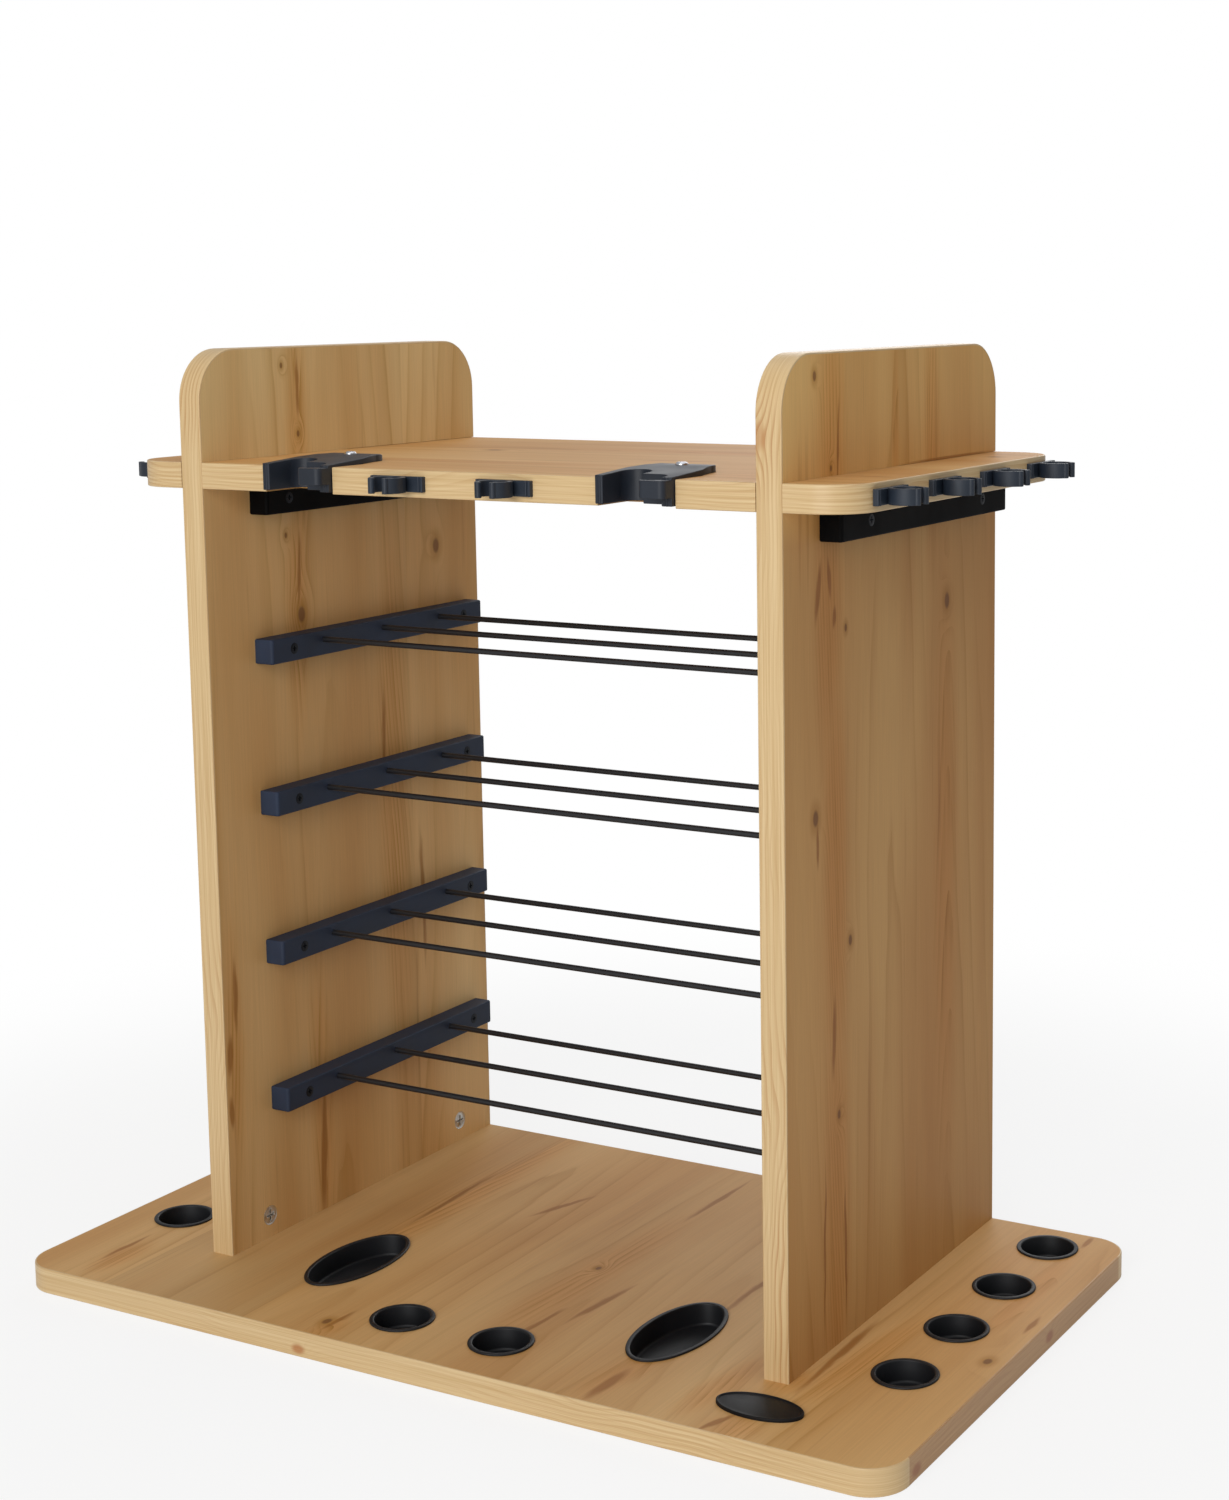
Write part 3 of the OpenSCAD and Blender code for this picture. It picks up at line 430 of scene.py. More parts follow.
def pine_band(name, knots=(), figured=(), flame=0.5, heart=0.75, dark_piece_and_shade_end=0):
    """Pine edging. knots are (along, across, radius) and figured patches (along, across, half length, half
    width) in mm, flame is the strength of the wavy figure and heart that of the knots' brown, and the last
    argument is how much of the strip, from its start, is darker, partly as a darker piece of band and partly
    as painted shade."""
    material, tree, shader = new_material(name, Roughness=0.38, IOR=1.5)
    uv = add(tree, "ShaderNodeUVMap", uv_map="band")
    strip = add(tree, "ShaderNodeMapping", {0: uv, 3: (TO_MM, TO_MM, 1)})
    along, across, _ = add(tree, "ShaderNodeSeparateXYZ", [strip]).outputs

    # The wavy figure: rings that sway across the strip and flow round the knots
    nearest = distance_to(tree, strip, [((x, y, 0), (1.6 * r, r, 1), 0) for x, y, r in knots])
    sway = stretched_noise(tree, strip, (130, 40, 1), seed=2.0)
    swayed = add(tree, "ShaderNodeMath", [sway, 26, across], operation="MULTIPLY_ADD")
    ring_at = add(tree, "ShaderNodeMath", [bulge(tree, nearest, 0.2), 6, swayed], operation="MULTIPLY_ADD")
    late = add(tree, "ShaderNodeMapRange", [rings(tree, ring_at, BAND_RING), 0.5, 1.0, 0.0, flame])

    # Where it shows: in slow patches anywhere, and at the figured places
    slow = stretched_noise(tree, strip, (90, 200, 1), 1.0, 6.0)
    strewn = add(tree, "ShaderNodeMapRange", [slow, 0.42, 0.62, 0.25, 1.0])
    marks = distance_to(tree, strip, [((x, y, 0), (long, wide, 1), 0) for x, y, long, wide in figured])
    placed = add(tree, "ShaderNodeMapRange", [marks, 1.5, 0.4, 0.0, 1.6], interpolation_type="SMOOTHSTEP")
    patches = add(tree, "ShaderNodeMath", [strewn, placed], operation="MAXIMUM")

    # Fine lines 0.8 mm wide over it all, and brown knots
    lines = stretched_noise(tree, strip, (160, 0.8, 1), seed=9.0)
    fine = add(tree, "ShaderNodeMapRange", [lines, 0.35, 0.7])
    wood = coats(tree, colour(BAND_LIGHT), [
        (add(tree, "ShaderNodeMath", [fine, 0.62], operation="MULTIPLY"), BAND_TAN),
        (add(tree, "ShaderNodeMath", [late, patches], operation="MULTIPLY"), BAND_FLAME),
        (add(tree, "ShaderNodeMapRange", [nearest, 1.5, 0.5, 0.0, heart], interpolation_type="SMOOTHSTEP"),
         BAND_KNOT)])
    # The strip's first part is darker: partly a darker piece, partly painted shade
    darker = add(tree, "ShaderNodeMapRange", [along, dark_piece_and_shade_end - BAND_JOINT, dark_piece_and_shade_end, 1.0, 0.0])
    toned = add(tree, "ShaderNodeMix", {0: darker, 6: wood, 7: colour(BAND_DARK_PIECE_AND_SHADE)}, data_type="RGBA",
                blend_type="MULTIPLY")
    bump = add(tree, "ShaderNodeBump", {"Height": fine, "Strength": 0.2, "Distance": 0.04 * MM})
    plug(tree, shader, {"Base Color": toned, "Normal": bump})
    return material


# The base's band is darker along its first 286 mm, its right side: partly a darker piece, partly painted
# shade
base_banding = pine_band("pine_edge_band_base", [(179, 8, 3), (8, 6, 3), (1395, 5.3, 2.6)],
                         [(1620, 8, 120, 12)], 0.22, 0.75, 286)
left_banding = pine_band("pine_edge_band_left_panel", (), [(330, 8, 30, 9)], 0.4)
right_banding = pine_band("pine_edge_band_right_panel", [(343, 2.5, 4.2)],
                          [(345, 6, 34, 9), (790, 11, 70, 6)], 0.45, 0.4)
shelf_banding = pine_band("pine_edge_band_shelf", (), (), 0.35)
print("nodes in the base's band:", len(base_banding.node_tree.nodes))

# %% [markdown]
# ## Plastics and metals
# The cups, rails, bars and clips are moulded in black ABS and nylon with a fine satin texture, the
# kind that spark erosion leaves in the mould. Up close that texture is about 0.1 mm; here it is drawn
# at 0.5 to 0.7 mm, the finest that shows. The fittings are zinc, bright steel and black oxide steel,
# the wires have a black powder coat, and the dowels are plain beech. The mouldings differ only in
# tone, gloss and grit, and the metals in tone, dullness and streaks, so each kind needs one function.

# %% Materials of the small parts
CLOUD_MM = 28


def moulded(name, tone, roughness, shine, grit_mm, depth_mm):
    """Black plastic with a faint mottled tone and the fine bump of a textured mould. shine is the share of
    mirrored light, 0.5 on a smooth face and less where the texture swallows it."""
    material, tree, shader = new_material(name, IOR=1.5, Specular_IOR_Level=shine)
    place = add(tree, "ShaderNodeTexCoord").outputs["Object"]
    grit = add(tree, "ShaderNodeTexNoise", {0: place, "Scale": TO_MM / grit_mm, "Detail": 2.0})
    cloud = add(tree, "ShaderNodeTexNoise", {0: place, "Scale": TO_MM / CLOUD_MM, "Detail": 2.0})
    mottle = add(tree, "ShaderNodeMapRange", [cloud, 0.3, 0.7, 0.82, 1.18])
    tinted = add(tree, "ShaderNodeVectorMath", [colour(tone)[:3], mottle], operation="MULTIPLY")
    dulled = add(tree, "ShaderNodeMapRange", [cloud, 0.3, 0.7, roughness - 0.05, roughness + 0.07])
    bump = add(tree, "ShaderNodeBump", {"Height": grit, "Strength": 0.5, "Distance": depth_mm * MM})
    plug(tree, shader, {"Base Color": tinted, "Roughness": dulled, "Normal": bump})
    return material


def metal(name, tone, roughness, metallic=1.0, brush_mm=0.25):
    """Metal or coated metal whose roughness is streaked by tumbling or drawing."""
    material, tree, shader = new_material(name, Metallic=metallic, Base_Color=colour(tone))
    place = add(tree, "ShaderNodeTexCoord").outputs["Object"]
    streak = add(tree, "ShaderNodeTexNoise", {0: place, "Scale": TO_MM / brush_mm, "Detail": 3.0})
    worn = add(tree, "ShaderNodeMapRange", [streak, 0.3, 0.7, roughness - 0.06, roughness + 0.1])
    bump = add(tree, "ShaderNodeBump", {"Height": streak, "Strength": 0.3, "Distance": 0.01 * MM})
    plug(tree, shader, {"Roughness": worn, "Normal": bump})
    return material


# Moulded ABS: a soft sheen on the cups' rims; the rails' dark tone is lifted to bluish grey as painted
# sheen, for the light that their texture scatters
cup_abs = moulded("black_abs_satin_cups", "111215", 0.5, 0.35, 0.5, 0.02)
rail_abs = moulded("black_abs_textured_rails", "293346", 0.6, 0.25, 0.7, 0.03)
# The shelf bars are darker than the other mouldings: painted shade for their place under the shelf
bar_abs_painted_shade = moulded("black_abs_shelf_bars_painted_shade", "060607", 0.65, 0.07, 0.7, 0.03)
plate_abs = moulded("black_abs_name_plate", "0A090B", 0.5, 0.2, 0.5, 0.015)
# Moulded nylon: a cool black that shines a little more along its rounded edges
clip_nylon = moulded("black_nylon_clips", "202833", 0.45, 0.4, 0.5, 0.02)
dual_nylon = moulded("black_nylon_dual_clips", "1C222C", 0.48, 0.4, 0.6, 0.02)
# Powder coat: a thick dull skin that hides the steel and keeps only a broken light along each wire
wire_coat = metal("black_powder_coated_steel", "15161A", 0.42, 0.0, 0.6)
# Die-cast zinc is pale and cloudy, zinc plate on steel bright, and black oxide dark and a little oily
cam_zinc = metal("die_cast_zinc", "D2D0CA", 0.42)
bright_steel = metal("bright_zinc_plated_steel", "C9CBD0", 0.24)
black_steel = metal("black_oxide_steel", "26282C", 0.45)

# Beech, left raw: a pinkish tan with short darker flecks along the dowel
beech, beech_tree, beech_shader = new_material("beech_dowel", Roughness=0.6, IOR=1.5)
beech_place = add(beech_tree, "ShaderNodeTexCoord").outputs["Object"]
beech_flecks = stretched_noise(beech_tree, beech_place, (1 * MM, 1 * MM, 25 * MM), 3.0)
plug(beech_tree, beech_shader, {
    "Base Color": coats(beech_tree, colour("D9B285"), [(beech_flecks, "B98A5C")])})
print("materials:", len(bpy.data.materials))

# %% [markdown]
# ## Helpers that make and finish meshes
# Three ways of making cover the whole rack. A loft joins closed loops one after another, which suits
# cups and the oval plate. An eased copy takes a CAD solid and gives its sharp corners the small radius
# that every moulded part has. A band run sweeps the rounded section of the edge band along the edge.

# %% Mesh helpers
def keep_mesh(name, mesh, material):
    """Links a finished mesh as an object at the origin, with one material."""
    mesh.materials.append(material)
    piece = bpy.data.objects.new(name, mesh)
    bpy.context.scene.collection.objects.link(piece)
    return piece


def smooth_by_angle(mesh, degrees=35):
    """Smooth faces with a crease wherever two of them meet at more than that angle."""
    mesh.shade_smooth()
    mesh.set_sharp_from_angle(angle=math.radians(degrees))


def ellipse(half_long, half_wide, height, steps):
    """The points of a level ellipse."""
    angles = [2 * math.pi * i / steps for i in range(steps)]
    return [(half_long * math.cos(a), half_wide * math.sin(a), height) for a in angles]


def bridge(bm, lower, upper):
    """A ring of faces between two loops of vertices."""
    for i in range(len(lower)):
        j = (i + 1) % len(lower)
        bm.faces.new((lower[i], lower[j], upper[j], upper[i]))


def finished_mesh(bm, name, crease=35):
    """A mesh in metres from a bmesh in millimetres, facing outwards."""
    bmesh.ops.recalc_face_normals(bm, faces=bm.faces)
    bmesh.ops.scale(bm, vec=(MM, MM, MM), verts=bm.verts)
    mesh = bpy.data.meshes.new(name)
    bm.to_mesh(mesh)
    bm.free()
    smooth_by_angle(mesh, crease)
    return mesh


def loft(name, loops):
    """A closed mesh through loops of points in millimetres, its two ends filled."""
    bm = bmesh.new()
    loops = [[bm.verts.new(point) for point in loop] for loop in loops]
    for lower, upper in zip(loops, loops[1:]):
        bridge(bm, lower, upper)
    bm.faces.new(loops[0])
    bm.faces.new(loops[-1])
    return finished_mesh(bm, name)


def baked(piece):
    """Turns a piece with modifiers into a plain mesh, because stamps need one."""
    depsgraph = bpy.context.evaluated_depsgraph_get()
    seen = piece.evaluated_get(depsgraph)
    mesh = bpy.data.meshes.new_from_object(seen, preserve_all_data_layers=True, depsgraph=depsgraph)
    piece.modifiers.clear()
    piece.data = mesh
    return piece


# %% A CAD solid with its sharp edges rounded
MERGE = 0.002 * MM
COPLANAR, SHARP = math.radians(1.5), math.radians(40)


def eased_copy(name, node, material, radius, origin=(0, 0, 0), chosen=lambda edge: True, detail=None):
    """A copy of a CAD node, moved so that origin becomes zero, with its chosen sharp edges rounded. detail,
    if given, works on the rounded mesh before its shading is set."""
    bm = bmesh.new()
    bm.from_mesh(nodes[node].data)
    bmesh.ops.remove_doubles(bm, verts=bm.verts, dist=MERGE)
    bmesh.ops.dissolve_limit(bm, angle_limit=COPLANAR, verts=bm.verts, edges=bm.edges)
    bmesh.ops.translate(bm, verts=bm.verts, vec=-Vector(origin))
    weight = bm.edges.layers.float.new("bevel_weight_edge")
    for edge in bm.edges:
        if len(edge.link_faces) == 2 and edge.calc_face_angle(0) > SHARP and chosen(edge):
            edge[weight] = 1.0
    mesh = bpy.data.meshes.new(name)
    bm.to_mesh(mesh)
    bm.free()
    piece = keep_mesh(name, mesh, material)
    ease = piece.modifiers.new("eased edges", "BEVEL")
    ease.width, ease.segments, ease.limit_method = radius, 3, "WEIGHT"
    ease.use_clamp_overlap = False
    baked(piece)
    if detail:
        detail(piece.data)
    smooth_by_angle(piece.data)
    piece.modifiers.new("flat faces first", "WEIGHTED_NORMAL").keep_sharp = True
    return baked(piece)


def on_levels(edge, *levels):
    """Whether an edge lies in one of the level planes, such as a part's top and bottom rims."""
    return any(all(abs(v.co.z - z) < TOUCH for v in edge.verts) for z in levels)


def dress(piece, body, slot_name, *replaced):
    """A finished piece rides on a body and stands for its CAD nodes, which it hides. slot_name is not used.
    """
    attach(piece, body)
    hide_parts(*replaced)
    print(piece.name, "has", len(piece.data.polygons), "faces and stands for", len(replaced), "nodes")


# %% [markdown]
# ## One Geometry Nodes tree for everything that repeats
# Cups, clips, rails and wires all stand in straight rows at an even pitch. One tree makes a row: a
# mesh line gives the places, each place gets the stamp, turned the way it faces, and the row is
# made real and given its finish. Used several times on one object, it adds row after row.

# %% The tree that makes a row
row_tree = bpy.data.node_groups.new("row_of_stamps", "GeometryNodeTree")
for socket_name, socket_type in (("Geometry", "NodeSocketGeometry"), ("Stamp", "NodeSocketObject"),
                                 ("Count", "NodeSocketInt"), ("First place", "NodeSocketVector"),
                                 ("Step", "NodeSocketVector"), ("Turn", "NodeSocketVector"),
                                 ("Finish", "NodeSocketMaterial")):
    row_tree.interface.new_socket(socket_name, in_out="INPUT", socket_type=socket_type)
row_tree.interface.new_socket("Geometry", in_out="OUTPUT", socket_type="NodeSocketGeometry")
row_in = add(row_tree, "NodeGroupInput").outputs
row_line = add(row_tree, "GeometryNodeMeshLine", {
    "Count": row_in["Count"], "Start Location": row_in["First place"], "Offset": row_in["Step"]},
    mode="OFFSET")
row_stamp = add(row_tree, "GeometryNodeObjectInfo", {"Object": row_in["Stamp"]})
row_turn = add(row_tree, "FunctionNodeEulerToRotation", [row_in["Turn"]])
row_placed = add(row_tree, "GeometryNodeInstanceOnPoints", {
    "Points": row_line, "Instance": row_stamp.outputs["Geometry"], "Rotation": row_turn})
row_joined = add(row_tree, "GeometryNodeJoinGeometry", [row_in["Geometry"]])
plug(row_tree, row_joined, [row_placed])
row_whole = add(row_tree, "GeometryNodeRealizeInstances", [row_joined])
row_finish = add(row_tree, "GeometryNodeSetMaterial", {"Geometry": row_whole, "Material": row_in["Finish"]})
add(row_tree, "NodeGroupOutput", [row_finish])
ROW_SOCKETS = {item.name: item.identifier for item in row_tree.interface.items_tree
               if item.in_out == "INPUT"}


def rows(name, material, stamped_rows):
    """A piece made of rows. Each row is (stamp object, count, first place, step, turn in degrees)."""
    piece = keep_mesh(name, bpy.data.meshes.new(name), material)
    for stamp, count, first, step, turn in stamped_rows:
        row = piece.modifiers.new("row", "NODES")
        row.node_group = row_tree
        values = {"Stamp": stamp, "Count": count, "First place": [float(c) for c in first],
                  "Step": [float(c) for c in step], "Turn": [math.radians(a) for a in turn],
                  "Finish": material}
        for socket_name, value in values.items():
            row[ROW_SOCKETS[socket_name]] = value
    return baked(piece)


def put_away(*stamps):
    """Removes the stamps once their rows are plain meshes."""
    for stamp in stamps:
        bpy.data.objects.remove(stamp)


print("inputs of a row:", list(ROW_SOCKETS))

# %% [markdown]
# ## The boards and their veneer
# The four boards are flat panels whose outer rims are hidden by the edge band, so their CAD solids
# already have the right shape, holes and notches. They stay, and only take the veneer.

# %% Veneer on the CAD boards
def coat(node, material):
    """Gives a CAD node's own slots a better material."""
    for material_slot in nodes[node].material_slots:
        material_slot.material = material
    print(node, "keeps its CAD solid and takes", material.name)


coat("base_board", base_veneer)
coat("left_panel", left_veneer)
coat("right_panel", right_veneer)
coat("top_shelf", shelf_veneer)

# %% [markdown]
# ## The edge bands
# A real band is trimmed flush and its two long corners are eased with a scraper, which gives the thin
# bright line along every board edge. Each band is a rounded strip section swept along the board's
# outline. The sweep also writes the UV map that the pine lines follow, and because the section's
# normals are known exactly, they are stored, so the flat face stays flat up to the eased corner.

# %% Runs along a board's edge
def straight(ax, ay, bx, by):
    """Two points of a straight edge with the outward direction on the right of the way."""
    length = math.hypot(bx - ax, by - ay)
    outward = ((by - ay) / length, (ax - bx) / length)
    return [((ax, ay), outward), ((bx, by), outward)]


def corner(cx, cy, r, start, steps=14):
    """A quarter turn to the left round a corner's centre, from a start angle in degrees."""
    angles = [math.radians(start + 90 * i / steps) for i in range(steps + 1)]
    return [((cx + r * math.cos(a), cy + r * math.sin(a)), (math.cos(a), math.sin(a))) for a in angles]


def back_and_sides(low, high, r):
    """A board's edge from behind its front right corner, round the back, and round the front left one."""
    return (straight(high.x, low.y + r, high.x, high.y - r) + corner(high.x - r, high.y - r, r, 0)
            + straight(high.x - r, high.y, low.x + r, high.y) + corner(low.x + r, high.y - r, r, 90)
            + straight(low.x, high.y - r, low.x, low.y + r) + corner(low.x + r, low.y + r, r, 180))


# %% Sweeping a band along its runs
EASE = 0.7 * MM


def band_section(width):
    """Points and normals (outward, up) of the strip's section, from its inner bottom corner."""
    section = [((-BAND, 0), (0, -1))]
    for centre, start in ((EASE, -90), (width - EASE, 0)):
        for i in range(5):
            a = math.radians(start + 22.5 * i)
            out, rise = math.cos(a), math.sin(a)
            section.append(((-EASE + EASE * out, centre + EASE * rise), (out, rise)))
    return section + [((-BAND, width), (0, 1))]


def band(name, runs, to_space, material):
    """Sweeps the section along each run of (point, outward) pairs. to_space turns (a, b, up) into
    x, y, z."""
    section, nowhere = band_section(BOARD), Vector(to_space(0, 0, 0))
    count = len(section)
    # climbs counts the way round the section, and travels the way along a run: the V and U of the map
    climbs = [0.0]
    for (spot, _), (after, _) in zip(section, section[1:] + section[:1]):
        climbs.append(climbs[-1] + math.dist(spot, after))
    verts, faces, normals, uvs = [], [], [], []
    for run in runs:
        # Points that fall together are dropped, and a run that ends where it started is closed
        run = run[:1] + [spot for before, spot in zip(run, run[1:]) if math.dist(before[0], spot[0]) > TOUCH]
        closed = math.dist(run[0][0], run[-1][0]) < TOUCH
        travels = [0.0]
        for (before, _), (after, _) in zip(run, run[1:]):
            travels.append(travels[-1] + math.dist(before, after))
        # A ring of points at each place, then faces from each ring to the next
        first, ring_count = len(verts), len(run) - closed
        for (a, b), (out_a, out_b) in run[:ring_count]:
            verts += [to_space(a + out_a * out, b + out_b * out, height) for (out, height), _ in section]
        for i in range(len(run) - 1):
            for j in range(count):
                backing = j == count - 1
                corners = ((i, j), (i + 1, j), (i + 1, j + 1), (i, j + 1))
                for ring, step in corners:
                    out_a, out_b = run[ring][1]
                    n_out, n_up = (-1, 0) if backing else section[step][1]
                    normals.append(Vector(to_space(out_a * n_out, out_b * n_out, n_up)) - nowhere)
                    uvs += [travels[ring], climbs[step]]
                faces.append([first + ring % ring_count * count + step % count for ring, step in corners])
        # A cap at each end of an open run, facing away from the strip
        if not closed:
            for ring, inner in ((0, 1), (ring_count - 1, ring_count - 2)):
                order = range(count) if ring == 0 else range(count - 1, -1, -1)
                faces.append([first + ring * count + j for j in order])
                away = Vector(verts[first + ring * count]) - Vector(verts[first + inner * count])
                for j in order:
                    normals.append(away)
                    uvs += [travels[ring], climbs[j]]
    mesh = bpy.data.meshes.new(name)
    mesh.from_pydata(verts, [], faces)
    mesh.shade_smooth()
    mesh.uv_layers.new(name="band").data.foreach_set("uv", uvs)
    mesh.normals_split_custom_set([normal.normalized() for normal in normals])
    return keep_mesh(name, mesh, material)


# %% The base's band, all the way round
base_run = (back_and_sides(base_low, base_high, BASE_CORNER)
            + straight(base_low.x + BASE_CORNER, base_low.y, base_high.x - BASE_CORNER, base_low.y)
            + corner(base_high.x - BASE_CORNER, base_low.y + BASE_CORNER, BASE_CORNER, 270))
base_band = band("base_edge_band_eased", [base_run], lambda a, b, up: (a, b, up), base_banding)
dress(base_band, "rack", "base_edge", "base_edge_band")

# %% The panels' bands, open at the foot and where the shelf crosses
slot_low, slot_high = shelf_low.z - LAP_PLAY, shelf_high.z + LAP_PLAY
panel_top, panel_foot = panel_high.z, panel_low.z
panel_front, panel_back = panel_low.y, panel_high.y
panel_runs = [
    straight(panel_back, panel_foot, panel_back, slot_low),
    straight(panel_back, slot_high, panel_back, panel_top - PANEL_CORNER)
    + corner(panel_back - PANEL_CORNER, panel_top - PANEL_CORNER, PANEL_CORNER, 0)
    + straight(panel_back - PANEL_CORNER, panel_top, panel_front + PANEL_CORNER, panel_top)
    + corner(panel_front + PANEL_CORNER, panel_top - PANEL_CORNER, PANEL_CORNER, 90)
    + straight(panel_front, panel_top - PANEL_CORNER, panel_front, panel_foot)]
for side, banding in (("left", left_banding), ("right", right_banding)):
    inner_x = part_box(f"{side}_panel_edge_band")[0].x
    panel_band = band(f"{side}_panel_edge_band_eased", panel_runs,
                      lambda a, b, up: (inner_x + up, a, b), banding)
    dress(panel_band, "rack", f"{side}_panel_edge", f"{side}_panel_edge_band")

# %% The shelf's band, open at the panels and at the dual clips' notches
NOTCH_PLAY = 0.4 * MM
dual_low, dual_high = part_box("dual_clip_right")
DUAL_X = middle("dual_clip_right").x
NOTCH_HALF = (dual_high.x - dual_low.x) / 2 + NOTCH_PLAY
panel_inner, panel_outer = panel_low.x - LAP_PLAY, panel_high.x + LAP_PLAY
front = shelf_low.y
shelf_runs = [
    straight(panel_outer, front, shelf_high.x - SHELF_CORNER, front)
    + corner(shelf_high.x - SHELF_CORNER, front + SHELF_CORNER, SHELF_CORNER, 270)
    + back_and_sides(shelf_low, shelf_high, SHELF_CORNER)
    + straight(shelf_low.x + SHELF_CORNER, front, -panel_outer, front),
    straight(-panel_inner, front, -DUAL_X - NOTCH_HALF, front),
    straight(-DUAL_X + NOTCH_HALF, front, DUAL_X - NOTCH_HALF, front),
    straight(DUAL_X + NOTCH_HALF, front, panel_inner, front)]
shelf_band = band("top_shelf_edge_band_eased", shelf_runs,
                  lambda a, b, up: (a, b, shelf_low.z + up), shelf_banding)
dress(shelf_band, "rack", "shelf_edge", "top_shelf_edge_band")

# %% [markdown]
# ## The butt cups
# A butt cup is a shallow moulded pot pressed into a hole in the base, with a rolled rim that hides the
# hole's edge. A round one is turned from a profile; an oval one, with room for two, uses the same
# profile round an ellipse. Each is made once and set out in rows.

# %% Cup stamps and their rows
ROUND_HALF, OVAL_HALF_LONG, OVAL_HALF_WIDE = 18.4, 42, 21.5


def pot(name, half_long, half_wide, profile, steps=72):
    """A pot from an ellipse for each (inset, height) in mm of the profile."""
    return loft(name, [ellipse(half_long - inset, half_wide - inset, height, steps)
                       for inset, height in profile])


def cup_profile(centre):
    """From the middle of the pot's floor, up its inside, over the rolled rim and down its outside."""
    return [(centre, -11.5), (4.3, -11.5), (3.4, -11.2), (2.9, -10.6), (2.8, -9.9), (2.8, 0.5), (2.65, 0.9),
            (2.3, 1.15), (1.9, 1.2), (0.6, 1.2), (0.3, 1.11), (0.08, 0.86), (0.0, 0.55), (0.1, 0.2),
            (0.35, 0.02), (0.6, 0.0), (1.6, 0.0), (1.6, -12.4), (1.75, -12.85), (2.2, -13.0),
            (centre, -13.0)]


def places(first_node, last_node, count, x=None, y=None, z=None):
    """First place and step of an even row of nodes, from their boxes, with any given coordinates put in."""
    ends = [Vector(c if fixed is None else fixed for c, fixed in zip(middle(node), (x, y, z)))
            for node in (first_node, last_node)]
    return ends[0], (ends[1] - ends[0]) / (count - 1)


round_pot = pot("round_cup", ROUND_HALF, ROUND_HALF, cup_profile(18.2))
oval_pot = pot("oval_cup", OVAL_HALF_LONG, OVAL_HALF_WIDE, cup_profile(21.2), 96)
round_stamp = keep_mesh("round_cup_stamp", round_pot, cup_abs)
oval_stamp = keep_mesh("oval_cup_stamp", oval_pot, cup_abs)
round_cups = rows("round_butt_cups", cup_abs, [
    (round_stamp, 4, *places("round_cup_left_1", "round_cup_left_4", 4, z=base_top), (0, 0, 0)),
    (round_stamp, 4, *places("round_cup_right_1", "round_cup_right_4", 4, z=base_top), (0, 0, 0)),
    (round_stamp, 2, *places("round_cup_front_left", "round_cup_front_right", 2, z=base_top), (0, 0, 0))])
oval_cups = rows("oval_butt_cups", cup_abs, [
    (oval_stamp, 2, *places("oval_cup_left", "oval_cup_right", 2, z=base_top), (0, 0, 90))])
dress(round_cups, "rack", "cup_plastic", *both_sides("round_cup"),
      "round_cup_front_left", "round_cup_front_right")
dress(oval_cups, "rack", "cup_plastic", "oval_cup_left", "oval_cup_right")

# %% [markdown]
# ## The name plate
# A small oval plate with a raised rim sits at the front right of the base. An eased copy of its CAD
# solid would keep a flat face, so it is lofted as the cups are, with a face that rises a little
# towards the middle. It stays bare: only its satin face and the bright line on its rim show.

# %% The oval plate
PLATE_HALF_LONG, PLATE_HALF_WIDE = 25, 13
PLATE_PROFILE = [(12.9, 0.0), (0.0, 0.0), (0.0, 1.3), (0.12, 1.6), (0.4, 1.78), (0.7, 1.8), (1.0, 1.78),
                 (1.3, 1.6), (1.45, 1.3), (1.9, 1.22), (3.5, 1.28), (6.0, 1.36), (9.0, 1.42), (12.9, 1.45)]
plate_mesh = pot("name_plate", PLATE_HALF_LONG, PLATE_HALF_WIDE, PLATE_PROFILE, 96)
plate_middle = middle("name_plate")
plate_mesh.transform(Matrix.Translation((plate_middle.x, plate_middle.y, base_top)))
name_plate = keep_mesh("name_plate_domed", plate_mesh, plate_abs)
dress(name_plate, "rack", "name_plate", "name_plate")

# %% [markdown]
# ## The rod clips
# Each clip is one nylon moulding: a springy ring with an open mouth on a flange with two little beads
# at each end. The CAD solid has the outline; what it lacks is the small radius on every moulded edge,
# which is what catches the light. So one clip is copied, eased and set out along the shelf's edges.

# %% The clip stamp and its rows
CLIP_EASE = 0.35 * MM
clip_low, clip_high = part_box("rod_clip_front_right")
clip_middle = middle("rod_clip_front_right")
CLIP_Z = (shelf_low.z + shelf_high.z) / 2
CLIP_HALF = (clip_high.z - clip_low.z) / 2
FLANGE_END = (clip_high.x - clip_low.x) / 2 - 0.1 * MM
shelf_end = shelf_high.x


def on_clip_rims(edge):
    """The clip's top and bottom outlines and its flange's upright ends, but not the hidden back."""
    hidden = all(abs(v.co.y) < TOUCH for v in edge.verts)
    upright = all(abs(v.co.x) > FLANGE_END for v in edge.verts)
    return not hidden and (upright or on_levels(edge, -CLIP_HALF, CLIP_HALF))


clip_stamp = eased_copy("rod_clip_stamp", "rod_clip_front_right", clip_nylon, CLIP_EASE,
                        (clip_middle.x, front, CLIP_Z), on_clip_rims)
left_clips = places("rod_clip_left_1", "rod_clip_left_4", 4, x=-shelf_end, z=CLIP_Z)
right_clips = places("rod_clip_right_1", "rod_clip_right_4", 4, x=shelf_end, z=CLIP_Z)
front_clips = places("rod_clip_front_left", "rod_clip_front_right", 2, y=front, z=CLIP_Z)
rod_clips = rows("rod_clips_eased", clip_nylon, [
    (clip_stamp, 4, *left_clips, (0, 0, -90)),
    (clip_stamp, 4, *right_clips, (0, 0, 90)),
    (clip_stamp, 2, *front_clips, (0, 0, 0))])
dress(rod_clips, "rack", "clip_plastic", *both_sides("rod_clip"),
      "rod_clip_front_left", "rod_clip_front_right")

# %% [markdown]
# ## The dual clips
# A dual clip fills a notch in the shelf's front edge and grips at two places, one behind the other. It
# is a deep box-shaped moulding with a hook in front and a wide tongue on top of the shelf, rising to
# the screw. Both are eased copies of the CAD solid, set out as one row.

